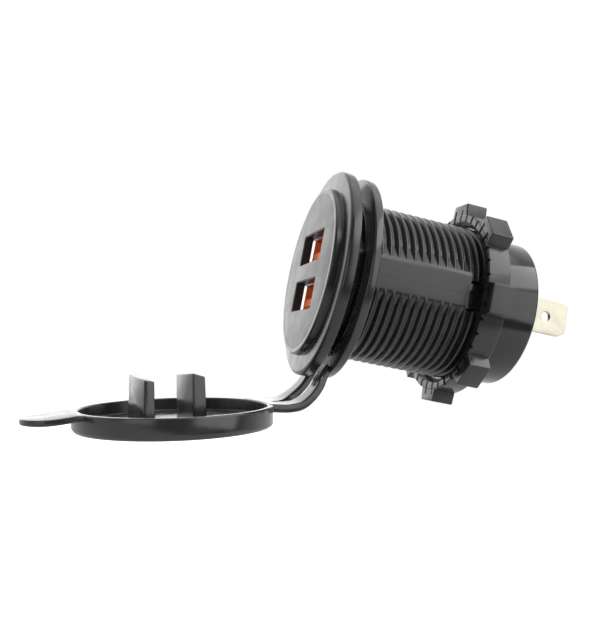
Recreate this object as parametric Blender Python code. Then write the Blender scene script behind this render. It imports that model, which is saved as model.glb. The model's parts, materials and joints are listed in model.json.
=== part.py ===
"""Panel-mount dual USB socket with a threaded barrel, a ring nut and a rubber cover.

Metres, +Z up. The barrel's axis is Y: the face looks toward -Y, the terminals stand at +Y.
The origin is on the axis, in the plane where the flange meets the panel.
The cover is modelled closed over the face and then swung open about its hinge.
"""
import math

import bmesh
import bpy
from mathutils import Matrix, Vector

MM = 0.001

# Bezel: flange, raised boss and the round insert in it
FLANGE_OVERHANG = 4.5 * MM
FLANGE_THICKNESS = 2.0 * MM
FLANGE_FRONT_ROUND = 0.7 * MM
FLANGE_BACK_ROUND = 0.25 * MM
SEAT_RELIEF = 0.25 * MM
BOSS_STEP = 3.5 * MM
BOSS_HEIGHT = 1.4 * MM
BOSS_ROUND = 0.35 * MM
BOSS_BORDER = 1.1 * MM
FACE_THICKNESS = 1.55 * MM
FACE_GROOVE = 0.12 * MM

# Threaded barrel
BARREL_LENGTH = 27.6 * MM
BARREL_WALL = 1.4 * MM
THREAD_DEPTH = 0.8 * MM
THREAD_PITCH = 1.5 * MM
THREAD_START = 1.3 * MM
THREAD_RUNOUT = 0.6 * MM
CREST_WIDTH = 0.3 * MM
THREAD_FOOT_WIDTH = 1.1 * MM
LAND_WIDTH = 5.6 * MM
LAND_RAMP = 2.9 * MM
LAND_START = 0.4 * MM
NOTCH_LENGTH = 5.6 * MM
NOTCH_SIDE_STEP = 0.1 * MM
NECK_STEP = 0.1 * MM

# USB receptacles
PORT_PITCH = 8.9 * MM
WINDOW_SIDE_MARGIN = 0.3 * MM
WINDOW_TOP_MARGIN = 0.19 * MM
SHELL_WIDTH = 12.7 * MM
SHELL_HEIGHT = 5.12 * MM
SHELL_WALL = 0.3 * MM
SHELL_LENGTH = 13.2 * MM
SHELL_CORNER = 0.5 * MM
SPRING_WIDTH = 2.2 * MM
SPRING_LENGTH = 3.5 * MM
SPRING_SETBACK = 5.0 * MM
SPRING_FROM_SIDE = 3.15 * MM
TONGUE_SIDE_GAP = 0.8 * MM
TONGUE_THICKNESS = 1.84 * MM
TONGUE_SETBACK = 0.4 * MM
TONGUE_TIP_BEVEL = 0.3 * MM
CHEEK_THICKNESS = 0.22 * MM
INSULATOR_BASE = 3.0 * MM
CONTACT_COUNT = 4
CONTACT_PITCH = 2.3 * MM
CONTACT_WIDTH = 1.0 * MM
CONTACT_THICKNESS = 0.25 * MM
CONTACT_SETBACK = 0.8 * MM
COLLAR_WALL = 0.9 * MM
COLLAR_LENGTH = 4.0 * MM
COLLAR_CLEARANCE = 0.905 * MM

# Boards and the parts soldered to them
BOARD_THICKNESS = 1.6 * MM
PIN_SIZE = 0.64 * MM
PIN_PITCH = 2.54 * MM
PIN_COUNT = 4
PIN_ROW_INSET = 3.0 * MM
INDUCTOR_RADIUS = 4.2 * MM
INDUCTOR_HEADROOM = 3.85 * MM
INDUCTOR_FLANGE = 0.8 * MM
INDUCTOR_Z = 4.6 * MM
CAPACITOR_RADIUS = 3.15 * MM
CAPACITOR_HEADROOM = 3.05 * MM
CAPACITOR_ROUND = 0.4 * MM
CAPACITOR_X = 6.8 * MM
CAPACITOR_Z = -3.2 * MM
CHIP_WIDTH = 5.0 * MM
CHIP_DEPTH = 4.0 * MM
CHIP_THICKNESS = 1.2 * MM
CHIP_ROUND = 0.15 * MM

# Rear cap and spade terminals
CAP_STEP = 0.03 * MM
CAP_LENGTH = 8.2 * MM
CAP_WALL = 1.5 * MM
CAP_END_WALL = 2.0 * MM
CAP_ROUND = 0.5 * MM
CAP_INNER_STEP = 1.2 * MM
CAP_INNER_LEDGE = 0.8 * MM
SPIGOT_LENGTH = 1.3 * MM
LATCH_WIDTH = 4.6 * MM
LATCH_THICKNESS = 1.1 * MM
LATCH_ROOT = 0.8 * MM
SPADE_WIDTH = 6.3 * MM
SPADE_THICKNESS = 0.8 * MM
SPADE_LENGTH = 8.2 * MM
SPADE_FROM_RIM = 4.23 * MM
SPADE_CHAMFER = 1.3 * MM
SPADE_HOLE_RADIUS = 0.9 * MM
SPADE_HOLE_FROM_TIP = 4.3 * MM
SPADE_CHAMFER_SLOPE = 0.6
SPADE_SHOULDER_WIDTH = 7.6 * MM
SPADE_SHOULDER_LENGTH = 1.5 * MM

# Ring nut
NUT_FROM_END = 3.6 * MM
NUT_THICKNESS = 4.3 * MM
NUT_WALL = 2.6 * MM
NUT_RIM_ROUND = 0.3 * MM
NUT_LUG_HEIGHT = 2.0 * MM
NUT_LUG_COUNT = 8
NUT_LUG_WIDTH = 5.6 * MM
NUT_LUG_PHASE = -1.2
NUT_LUG_INSET = 0.08 * MM
NUT_LUG_ROOT = 1.5 * MM
NUT_LUG_ROUND = 0.2 * MM
NUT_LUG_TOP_DRAFT = 0.94
NUT_LUG_FOOT_DRAFT = 1.12
NUT_CHAMFER = 1.0 * MM
SERRATION_COUNT = 40
SERRATION_DEPTH = 0.55 * MM
SERRATION_WIDTH = 0.9 * MM
SERRATION_RUNOUT = 0.9 * MM

# Rubber cover
COVER_RING_WIDTH = 4.1 * MM
COVER_RING_FRONT = 2.4 * MM
COVER_RING_THICKNESS = 1.6 * MM
COVER_RING_ROUND = 0.3 * MM
COVER_INSET = 1.2 * MM
COVER_SKIRT = 1.75 * MM
COVER_DEPTH = 2.3 * MM
COVER_FLOOR = 1.5 * MM
COVER_ROUND = 0.9 * MM
COVER_RIM_ROUND = 0.25 * MM
PLUG_SIDE_GAP = 1.3 * MM
PLUG_TOP_GAP = 0.39 * MM
PLUG_HEIGHT = 7.3 * MM
PLUG_DRAFT = 0.15 * MM
PLUG_SLANT = 0.5 * MM
PLUG_CLEARANCE = 0.22 * MM
PLUG_ROUND = 0.25 * MM
GATE_MARK_RADIUS = 1.5 * MM
GATE_MARK_HEIGHT = 0.35 * MM
GATE_MARK_SLOPE = 0.2 * MM
TAB_REACH = 7.7 * MM
TAB_WIDTH = 12.4 * MM
TAB_THICKNESS = 1.4 * MM
TAB_DROP = 0.9 * MM
TAB_ROOT = 1.2 * MM
TAB_NECK = 0.86
TAB_ROUND = 0.35 * MM
STRAP_WIDTH = 13.0 * MM
STRAP_SLOT = 4.6 * MM
STRAP_THICKNESS = 1.5 * MM
STRAP_DROP = 0.3 * MM
STRAP_LOOSENESS = 1.05

# Hinge line of the strap, and how far the cover hangs open at rest
HINGE_SETBACK = 0.89 * MM
HINGE_DROP = 4.92 * MM
HINGE_SKEW = 7.16
HINGE_SKEW_TURN = 43.0
OPEN_ANGLE = 102.8

# Clearances
RUNNING_GAP = 0.3 * MM
SEAT_GAP = 0.3 * MM
INSERT_GAP = 0.1 * MM

# Overlap of pieces that are welded, and how far a cutter runs past what it cuts
WELD = 0.5 * MM
PAST = 1.0 * MM

# Facets round a full circle
ROUND_SEGMENTS = 48
THREAD_SEGMENTS = 36
SMALL_SEGMENTS = 24
ARC_STEPS = 3

# Places that follow from the sizes
PORT_SOCKET_HALF_WIDTH = SHELL_WIDTH / 2 + SHELL_WALL + INSERT_GAP
PORT_SOCKET_HALF_HEIGHT = SHELL_HEIGHT / 2 + SHELL_WALL + INSERT_GAP
COLLAR_HALF_WIDTH = PORT_SOCKET_HALF_WIDTH + COLLAR_WALL
COLLAR_HALF_HEIGHT = PORT_PITCH / 2 + PORT_SOCKET_HALF_HEIGHT + COLLAR_WALL
BORE_RADIUS = math.hypot(COLLAR_HALF_WIDTH, COLLAR_HALF_HEIGHT) + COLLAR_CLEARANCE
ROOT_RADIUS = BORE_RADIUS + BARREL_WALL
NECK_RADIUS = ROOT_RADIUS - NECK_STEP
THREAD_CREST_RADIUS = ROOT_RADIUS + THREAD_DEPTH
FLANGE_RADIUS = THREAD_CREST_RADIUS + FLANGE_OVERHANG
BOSS_RADIUS = FLANGE_RADIUS - BOSS_STEP
FACE_RADIUS = BOSS_RADIUS - BOSS_BORDER
SEAT_INNER_RADIUS = THREAD_CREST_RADIUS + SEAT_GAP
THREAD_END = BARREL_LENGTH - THREAD_RUNOUT
LAND_END = BARREL_LENGTH - NOTCH_LENGTH
NOTCH_WIDTH = LAND_WIDTH - 2 * NOTCH_SIDE_STEP
FLANGE_FRONT = -FLANGE_THICKNESS
FACE_FRONT = FLANGE_FRONT - BOSS_HEIGHT
FACE_BACK = FACE_FRONT + FACE_THICKNESS
FACE_SEAT = FACE_BACK + INSERT_GAP
SHELL_FRONT = FACE_BACK + INSERT_GAP
SHELL_BACK = SHELL_FRONT + SHELL_LENGTH
TONGUE_FRONT = SHELL_FRONT + TONGUE_SETBACK
TONGUE_WIDTH = SHELL_WIDTH - 2 * TONGUE_SIDE_GAP
PORT_BOARD_FRONT = SHELL_BACK + SEAT_GAP
PORT_BOARD_BACK = PORT_BOARD_FRONT + BOARD_THICKNESS
BOARD_RADIUS = BORE_RADIUS - SEAT_GAP
PORT_CENTRES = {"upper": PORT_PITCH / 2, "lower": -PORT_PITCH / 2}
WINDOW_HALF_WIDTH = SHELL_WIDTH / 2 + WINDOW_SIDE_MARGIN
WINDOW_HALF_HEIGHT = SHELL_HEIGHT / 2 + WINDOW_TOP_MARGIN
CAP_FRONT = BARREL_LENGTH + SEAT_GAP
CAP_BACK = CAP_FRONT + CAP_LENGTH
CAP_RADIUS = ROOT_RADIUS + CAP_STEP
SPADE_OFFSET = CAP_RADIUS - SPADE_FROM_RIM
REAR_BOARD_BACK = CAP_FRONT - SPIGOT_LENGTH - SEAT_GAP
REAR_BOARD_FRONT = REAR_BOARD_BACK - BOARD_THICKNESS
NUT_FRONT = BARREL_LENGTH - NUT_FROM_END
NUT_BACK = NUT_FRONT + NUT_THICKNESS
NUT_BORE_RADIUS = THREAD_CREST_RADIUS + RUNNING_GAP
NUT_RIM_RADIUS = THREAD_CREST_RADIUS + NUT_WALL
NUT_LUG_RADIUS = NUT_RIM_RADIUS + NUT_LUG_HEIGHT
LAND_X = math.sqrt(THREAD_CREST_RADIUS ** 2 - (LAND_WIDTH / 2) ** 2)
COVER_RING_RADIUS = THREAD_CREST_RADIUS + COVER_RING_WIDTH
COVER_RADIUS = FLANGE_RADIUS - COVER_INSET
RIM_SEAT = FLANGE_FRONT - SEAT_GAP
PLUG_WIDTH = SHELL_WIDTH - 2 * PLUG_SIDE_GAP
PLUG_THICKNESS = SHELL_HEIGHT / 2 - PLUG_CLEARANCE - PLUG_TOP_GAP
HINGE_POINT = Vector((0.0, RIM_SEAT + HINGE_SETBACK, -COVER_RADIUS - HINGE_DROP))


def hinge_axis():
    """The strap hangs a little to one side, so its hinge line leans away from X."""
    skew = math.radians(HINGE_SKEW)
    turn = math.radians(HINGE_SKEW_TURN)
    return Vector((math.cos(skew), math.sin(skew) * math.cos(turn), math.sin(skew) * math.sin(turn)))


def swing(angle_deg):
    """The matrix that turns a closed cover piece about the hinge line."""
    turn = Matrix.Rotation(math.radians(angle_deg), 4, hinge_axis())
    return Matrix.Translation(HINGE_POINT) @ turn @ Matrix.Translation(-HINGE_POINT)


# Scene and material helpers
def clear_scene():
    for old in list(bpy.data.objects):
        bpy.data.objects.remove(old, do_unlink=True)


def make_material(name, colour, roughness, metallic=0.0):
    material = bpy.data.materials.new(name)
    material.use_nodes = True
    shader = material.node_tree.nodes["Principled BSDF"]
    shader.inputs["Base Color"].default_value = (*colour, 1.0)
    shader.inputs["Roughness"].default_value = roughness
    shader.inputs["Metallic"].default_value = metallic
    return material


def add_object(name, bm, material=None, smooth_below=35.0):
    bmesh.ops.recalc_face_normals(bm, faces=bm.faces)
    if bm.calc_volume(signed=True) < 0:
        bmesh.ops.reverse_faces(bm, faces=bm.faces)
    mesh = bpy.data.meshes.new(name)
    bm.to_mesh(mesh)
    bm.free()
    mesh.shade_smooth()
    mesh.set_sharp_from_angle(angle=math.radians(smooth_below))
    piece = bpy.data.objects.new(name, mesh)
    bpy.context.collection.objects.link(piece)
    if material:
        mesh.materials.append(material)
    return piece


def combine(piece, bm, operation, name):
    """Cut a helper shape out of a piece, or weld it on."""
    helper = add_object(f"{piece.name}_{name}", bm)
    helper.hide_render = True
    helper.display_type = "WIRE"
    modifier = piece.modifiers.new(name, "BOOLEAN")
    modifier.operation = operation
    modifier.solver = "EXACT"
    modifier.object = helper
    return helper


# Shape helpers
def corner(radius, y, rounding=0.0):
    return (radius, y, rounding)


def rounded_outline(corners):
    """Points of a closed outline from (radius, y, rounding) corners, with arcs at the round ones."""
    points = []
    for index, (radius, y, rounding) in enumerate(corners):
        here = Vector((radius, y))
        if not rounding:
            points.append(here)
            continue
        before = Vector(corners[index - 1][:2])
        after = Vector(corners[(index + 1) % len(corners)][:2])
        start = here + (before - here).normalized() * rounding
        end = here + (after - here).normalized() * rounding
        for step in range(ARC_STEPS + 1):
            t = step / ARC_STEPS
            points.append(start * (1 - t) ** 2 + here * 2 * t * (1 - t) + end * t ** 2)
    return points


def turned(corners, segments=ROUND_SEGMENTS, centre=(0.0, 0.0)):
    """A body of revolution about an axis along Y, from a closed outline of (radius, y) corners."""
    bm = bmesh.new()
    verts = [bm.verts.new((p.x, p.y, 0.0)) for p in rounded_outline(corners)]
    edges = [bm.edges.new((a, b)) for a, b in zip(verts, verts[1:] + verts[:1])]
    bmesh.ops.spin(bm, geom=verts + edges, cent=(0, 0, 0), axis=(0, 1, 0), angle=2 * math.pi,
                   steps=segments, use_merge=True)
    bmesh.ops.remove_doubles(bm, verts=bm.verts, dist=0.0002 * MM)
    bmesh.ops.dissolve_degenerate(bm, edges=bm.edges, dist=0.0001 * MM)
    bmesh.ops.delete(bm, geom=[e for e in bm.edges if not e.link_faces], context="EDGES")
    bmesh.ops.delete(bm, geom=[f for f in bm.faces if on_axis(f)], context="FACES")
    bmesh.ops.translate(bm, verts=bm.verts, vec=(centre[0], 0, centre[1]))
    return bm


def on_axis(face):
    return all(math.hypot(v.co.x, v.co.z) < 0.001 * MM for v in face.verts)


def disc(radius, front, back, rounding=0.0, segments=ROUND_SEGMENTS, centre=(0.0, 0.0)):
    """A solid round bar between two planes across Y."""
    bm = bmesh.new()
    bmesh.ops.create_cone(bm, cap_ends=True, segments=segments, radius1=radius, radius2=radius,
                          depth=back - front)
    rims = [e for e in bm.edges if abs(e.verts[0].co.z - e.verts[1].co.z) < 0.001 * MM]
    if rounding:
        bevel(bm, rims, rounding, 2)
    bmesh.ops.rotate(bm, verts=bm.verts, cent=(0, 0, 0), matrix=Matrix.Rotation(math.pi / 2, 3, "X"))
    bmesh.ops.translate(bm, verts=bm.verts, vec=(centre[0], (front + back) / 2, centre[1]))
    return bm


def bevel(bm, edges, width, segments=1):
    bmesh.ops.bevel(bm, geom=edges, offset=width, offset_type="OFFSET", segments=segments,
                    profile=0.5, affect="EDGES", material=-1)


def block(x, y, z, rounding=0.0, along=None):
    """A box from (low, high) pairs; its edges along one axis, or all of them, can be rounded."""
    bm = bmesh.new()
    bmesh.ops.create_cube(bm, size=1.0)
    size = Vector((x[1] - x[0], y[1] - y[0], z[1] - z[0]))
    centre = Vector((x[0] + x[1], y[0] + y[1], z[0] + z[1])) / 2
    bmesh.ops.scale(bm, verts=bm.verts, vec=size)
    bmesh.ops.translate(bm, verts=bm.verts, vec=centre)
    if rounding:
        edges = [e for e in bm.edges if along is None or edge_runs(e, along)]
        bevel(bm, edges, rounding, 2)
    return bm


def edge_runs(edge, axis):
    span = edge.verts[0].co - edge.verts[1].co
    return abs(span[axis]) > 0.9 * span.length


def prism(outline, low, high, axis):
    """A straight prism: the outline lies across the axis and is drawn out from low to high."""
    bm = bmesh.new()
    verts = []
    for across in outline:
        place = list(across)
        place.insert(axis, low)
        verts.append(bm.verts.new(place))
    face = bm.faces.new(verts)
    grown = bmesh.ops.extrude_face_region(bm, geom=[face], use_keep_orig=True)
    verts = [g for g in grown["geom"] if isinstance(g, bmesh.types.BMVert)]
    step = Vector((0, 0, 0))
    step[axis] = high - low
    bmesh.ops.translate(bm, verts=verts, vec=step)
    return bm


def merge(parts):
    """Several separate shapes as one mesh, for use as a helper."""
    whole = bmesh.new()
    for part in parts:
        mesh = bpy.data.meshes.new("part")
        bmesh.ops.recalc_face_normals(part, faces=part.faces)
        part.to_mesh(mesh)
        part.free()
        whole.from_mesh(mesh)
        bpy.data.meshes.remove(mesh)
    return whole


def turn_about_y(bm, degrees):
    turn = Matrix.Rotation(math.radians(degrees), 3, "Y")
    bmesh.ops.rotate(bm, verts=bm.verts, cent=(0, 0, 0), matrix=turn)
    return bm


def both_sides(low, high):
    """The stretch from low to high along X, and its mirror image."""
    return [(low, high), (-high, -low)]


# Bezel and threaded barrel, one moulding
def threaded_rod():
    """The screw thread: one pitch of its outline runs along a helix, then both ends are cut square."""
    flank = (THREAD_FOOT_WIDTH - CREST_WIDTH) / 2
    outline = [(ROOT_RADIUS, 0.0), (THREAD_CREST_RADIUS, flank),
               (THREAD_CREST_RADIUS, flank + CREST_WIDTH), (ROOT_RADIUS, THREAD_FOOT_WIDTH),
               (ROOT_RADIUS, THREAD_PITCH)]
    first = THREAD_START - 1.5 * THREAD_PITCH
    turns = math.ceil((THREAD_END - first) / THREAD_PITCH) + 1
    bm = bmesh.new()
    verts = [bm.verts.new((r, first + y, 0.0)) for r, y in outline]
    edges = [bm.edges.new(pair) for pair in zip(verts, verts[1:])]
    bmesh.ops.spin(bm, geom=verts + edges, cent=(0, 0, 0), axis=(0, 1, 0),
                   angle=2 * math.pi * turns, steps=turns * THREAD_SEGMENTS,
                   dvec=(0, THREAD_PITCH / THREAD_SEGMENTS, 0))
    bmesh.ops.remove_doubles(bm, verts=bm.verts, dist=0.001 * MM)
    for y, outward in ((THREAD_START, -1), (THREAD_END, 1)):
        everything = bm.verts[:] + bm.edges[:] + bm.faces[:]
        bmesh.ops.bisect_plane(bm, geom=everything, dist=0.0005 * MM, plane_co=(0, y, 0),
                               plane_no=(0, outward, 0), clear_outer=True)
    bmesh.ops.remove_doubles(bm, verts=bm.verts, dist=0.004 * MM)
    rims = [e for e in bm.edges if e.is_boundary]
    bmesh.ops.contextual_create(bm, geom=[e for e in rims if e.verts[0].co.y < BARREL_LENGTH / 2])
    bmesh.ops.contextual_create(bm, geom=[e for e in rims if e.verts[0].co.y > BARREL_LENGTH / 2])
    return bm


def land_outline(side):
    """Section of the smooth land that breaks the thread, with a ramp on each side.

    It stands too high at first, because one cut then shaves it and the crests beside it flat.
    """
    half = LAND_WIDTH / 2
    ramp_end = half + LAND_RAMP
    foot = math.sqrt(ROOT_RADIUS ** 2 - ramp_end ** 2) - INSERT_GAP
    spare = THREAD_DEPTH / 2
    top = half - spare * LAND_RAMP / (LAND_X - foot)
    inside = BORE_RADIUS + INSERT_GAP
    points = [(LAND_X + spare, -top), (LAND_X + spare, top), (foot, ramp_end),
              (inside, half), (inside, -half), (foot, -ramp_end)]
    return [(side * x, z) for x, z in points]


def build_barrel(material):
    inner_front = FACE_RADIUS + INSERT_GAP
    corners = [
        corner(0.0, FACE_SEAT),
        corner(inner_front, FACE_SEAT),
        corner(inner_front, FACE_FRONT),
        corner(BOSS_RADIUS, FACE_FRONT, BOSS_ROUND),
        corner(BOSS_RADIUS, FLANGE_FRONT),
        corner(FLANGE_RADIUS, FLANGE_FRONT, FLANGE_FRONT_ROUND),
        corner(FLANGE_RADIUS, 0.0, FLANGE_BACK_ROUND),
        corner(SEAT_INNER_RADIUS, 0.0),
        corner(SEAT_INNER_RADIUS, -SEAT_RELIEF),
        corner(NECK_RADIUS, -SEAT_RELIEF),
        corner(NECK_RADIUS, BARREL_LENGTH),
        corner(0.0, BARREL_LENGTH),
    ]
    barrel = add_object("threaded_barrel", turned(corners, THREAD_SEGMENTS), material)
    combine(barrel, threaded_rod(), "UNION", "thread")
    lands = [prism(land_outline(side), LAND_START, LAND_END + WELD, 1) for side in (1, -1)]
    combine(barrel, merge(lands), "UNION", "lands")
    beyond = THREAD_CREST_RADIUS + PAST
    past_end = BARREL_LENGTH + PAST
    shaves = [block(x, (LAND_START / 2, past_end), (-LAND_WIDTH, LAND_WIDTH))
              for x in both_sides(LAND_X, beyond)]
    combine(barrel, merge(shaves), "DIFFERENCE", "shave")
    notch = block((-beyond, beyond), (LAND_END, past_end), (-NOTCH_WIDTH / 2, NOTCH_WIDTH / 2))
    combine(barrel, notch, "DIFFERENCE", "notch")
    bore = disc(BORE_RADIUS, FACE_SEAT - PAST, past_end, segments=THREAD_SEGMENTS)
    combine(barrel, bore, "DIFFERENCE", "bore")
    return barrel


# Round face with the two port windows
def build_face_plate(material):
    corners = [corner(0.0, FACE_FRONT), corner(FACE_RADIUS, FACE_FRONT, FACE_GROOVE),
               corner(FACE_RADIUS, FACE_BACK), corner(0.0, FACE_BACK)]
    plate = add_object("face_plate", turned(corners), material)
    collar_back = FACE_BACK + COLLAR_LENGTH
    collar = block((-COLLAR_HALF_WIDTH, COLLAR_HALF_WIDTH), (FACE_BACK - WELD, collar_back),
                   (-COLLAR_HALF_HEIGHT, COLLAR_HALF_HEIGHT), COLLAR_WALL, along=1)
    combine(plate, collar, "UNION", "collar")
    for port, z in PORT_CENTRES.items():
        socket = block((-PORT_SOCKET_HALF_WIDTH, PORT_SOCKET_HALF_WIDTH),
                       (FACE_BACK, collar_back + PAST),
                       (z - PORT_SOCKET_HALF_HEIGHT, z + PORT_SOCKET_HALF_HEIGHT))
        window = block((-WINDOW_HALF_WIDTH, WINDOW_HALF_WIDTH), (FACE_FRONT - PAST, FACE_BACK + WELD),
                       (z - WINDOW_HALF_HEIGHT, z + WINDOW_HALF_HEIGHT))
        combine(plate, socket, "DIFFERENCE", f"{port}_socket")
        combine(plate, window, "DIFFERENCE", f"{port}_window")
    return plate


# One USB receptacle: folded shell, insulator with its tongue, four contacts
def build_shell(port, z, material):
    """Folded sheet tube; its springs stand over openings in the broad sides."""
    w = SHELL_WIDTH / 2
    h = SHELL_HEIGHT / 2
    wide = w + SHELL_WALL
    high = h + SHELL_WALL
    outer = block((-wide, wide), (SHELL_FRONT, SHELL_BACK), (z - high, z + high), SHELL_CORNER, along=1)
    shell = add_object(f"usb_shell_{port}", outer, material)
    hollow = block((-w, w), (SHELL_FRONT - PAST, SHELL_BACK + PAST), (z - h, z + h))
    combine(shell, hollow, "DIFFERENCE", "hollow")
    spring_y = (SHELL_FRONT + SPRING_SETBACK, SHELL_FRONT + SPRING_SETBACK + SPRING_LENGTH)
    spring_x = w - SPRING_FROM_SIDE
    near = spring_x - SPRING_WIDTH / 2
    far = spring_x + SPRING_WIDTH / 2
    springs = [block(x, spring_y, (z - high - PAST, z + high + PAST)) for x in both_sides(near, far)]
    combine(shell, merge(springs), "DIFFERENCE", "spring_windows")
    return shell


def contact_places():
    middle = (CONTACT_COUNT - 1) / 2
    return [(index - middle) * CONTACT_PITCH for index in range(CONTACT_COUNT)]


def build_insulator(port, z, material):
    """Base block that closes the shell, with its tongue in the lower half and a cheek on each side."""
    w = SHELL_WIDTH / 2 - INSERT_GAP
    h = SHELL_HEIGHT / 2 - INSERT_GAP
    base_front = SHELL_BACK - INSULATOR_BASE
    base = block((-w, w), (base_front, SHELL_BACK), (z - h, z + h))
    body = add_object(f"usb_insulator_{port}", base, material)
    tongue_y = (TONGUE_FRONT, base_front + WELD)
    tongue = block((-TONGUE_WIDTH / 2, TONGUE_WIDTH / 2), tongue_y, (z - TONGUE_THICKNESS, z))
    front = [e for e in tongue.edges if edge_runs(e, 0) and e.verts[0].co.y < TONGUE_FRONT + WELD]
    bevel(tongue, front, TONGUE_TIP_BEVEL)
    combine(body, tongue, "UNION", "tongue")
    cheeks = [block(x, tongue_y, (z - h, z + h)) for x in both_sides(w - CHEEK_THICKNESS, w)]
    combine(body, merge(cheeks), "UNION", "cheeks")
    slot_half = CONTACT_WIDTH / 2 + INSERT_GAP
    slot_y = (TONGUE_FRONT + CONTACT_SETBACK, SHELL_BACK + PAST)
    slot_z = (z - CONTACT_THICKNESS - 2 * INSERT_GAP, z + INSERT_GAP)
    slots = [block((x - slot_half, x + slot_half), slot_y, slot_z) for x in contact_places()]
    combine(body, merge(slots), "DIFFERENCE", "contact_slots")
    return body


def build_contacts(port, z, material):
    along = (TONGUE_FRONT + CONTACT_SETBACK + INSERT_GAP, PORT_BOARD_FRONT - INSERT_GAP)
    top = z - INSERT_GAP / 2
    half = CONTACT_WIDTH / 2
    for index, x in enumerate(contact_places(), start=1):
        strip = block((x - half, x + half), along, (top - CONTACT_THICKNESS, top))
        add_object(f"usb_contact_{port}_{index}", strip, material)


# Circuit boards and what they carry
def build_boards(boards, metal, parts):
    add_object("port_board", disc(BOARD_RADIUS, PORT_BOARD_FRONT, PORT_BOARD_BACK), boards)
    add_object("power_board", disc(BOARD_RADIUS, REAR_BOARD_FRONT, REAR_BOARD_BACK), boards)
    middle = (PIN_COUNT - 1) / 2
    pin_row_z = -(BOARD_RADIUS - PIN_ROW_INSET)
    half = PIN_SIZE / 2
    span = (PORT_BOARD_BACK + INSERT_GAP, REAR_BOARD_FRONT - INSERT_GAP)
    for index in range(PIN_COUNT):
        x = (index - middle) * PIN_PITCH
        pin = block((x - half, x + half), span, (pin_row_z - half, pin_row_z + half))
        add_object(f"board_pin_{index + 1}", pin, metal)
    seat = REAR_BOARD_FRONT - SEAT_GAP
    build_inductor(seat, (0.0, INDUCTOR_Z), parts)
    for side, x in (("left", -CAPACITOR_X), ("right", CAPACITOR_X)):
        can = disc(CAPACITOR_RADIUS, PORT_BOARD_BACK + CAPACITOR_HEADROOM, seat, CAPACITOR_ROUND,
                   SMALL_SEGMENTS, (x, CAPACITOR_Z))
        add_object(f"capacitor_{side}", can, parts["can"])
    chip_face = PORT_BOARD_BACK + INSERT_GAP
    chip = block((-CHIP_WIDTH / 2, CHIP_WIDTH / 2), (chip_face, chip_face + CHIP_THICKNESS),
                 (-CHIP_DEPTH / 2, CHIP_DEPTH / 2), CHIP_ROUND)
    add_object("controller_chip", chip, parts["chip"])


def build_inductor(seat, centre, parts):
    """A ferrite spool that stands on the board, and the winding between its flanges."""
    waist = INDUCTOR_RADIUS * 0.45
    front = PORT_BOARD_BACK + INDUCTOR_HEADROOM
    low = front + INDUCTOR_FLANGE
    high = seat - INDUCTOR_FLANGE
    spool = [corner(0.0, front), corner(INDUCTOR_RADIUS, front), corner(INDUCTOR_RADIUS, low),
             corner(waist, low), corner(waist, high), corner(INDUCTOR_RADIUS, high),
             corner(INDUCTOR_RADIUS, seat), corner(0.0, seat)]
    add_object("inductor_core", turned(spool, SMALL_SEGMENTS, centre), parts["ferrite"])
    inner = waist + INSERT_GAP
    outer = INDUCTOR_RADIUS - 2 * INSERT_GAP
    low += INSERT_GAP
    high -= INSERT_GAP
    coil = [corner(inner, low), corner(outer, low), corner(outer, high), corner(inner, high)]
    add_object("inductor_winding", turned(coil, SMALL_SEGMENTS, centre), parts["copper"])


# Rear cap and its two spades
def build_rear_cap(material):
    inner = CAP_RADIUS - CAP_WALL
    spigot = BORE_RADIUS - 2 * INSERT_GAP
    spigot_bore = inner - CAP_INNER_LEDGE
    spigot_front = CAP_FRONT - SPIGOT_LENGTH
    ledge = CAP_FRONT + CAP_INNER_STEP
    end = CAP_BACK - CAP_END_WALL
    corners = [
        corner(0.0, end), corner(inner, end), corner(inner, ledge), corner(spigot_bore, ledge),
        corner(spigot_bore, spigot_front), corner(spigot, spigot_front), corner(spigot, CAP_FRONT),
        corner(CAP_RADIUS, CAP_FRONT), corner(CAP_RADIUS, CAP_BACK, CAP_ROUND), corner(0.0, CAP_BACK),
    ]
    cap = add_object("rear_cap", turned(corners), material)
    latch_top = NECK_RADIUS - SEAT_GAP
    latch_y = (LAND_END + SEAT_GAP, CAP_FRONT + LATCH_ROOT)
    latches = [block(x, latch_y, (-LATCH_WIDTH / 2, LATCH_WIDTH / 2))
               for x in both_sides(latch_top - LATCH_THICKNESS, latch_top)]
    combine(cap, merge(latches), "UNION", "latches")
    slot_w = SPADE_THICKNESS / 2 + INSERT_GAP
    slot_h = SPADE_WIDTH / 2 + INSERT_GAP
    slots = [block(x, (end - PAST, CAP_BACK + PAST), (-slot_h, slot_h))
             for x in both_sides(SPADE_OFFSET - slot_w, SPADE_OFFSET + slot_w)]
    combine(cap, merge(slots), "DIFFERENCE", "spade_slots")
    return cap


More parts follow.
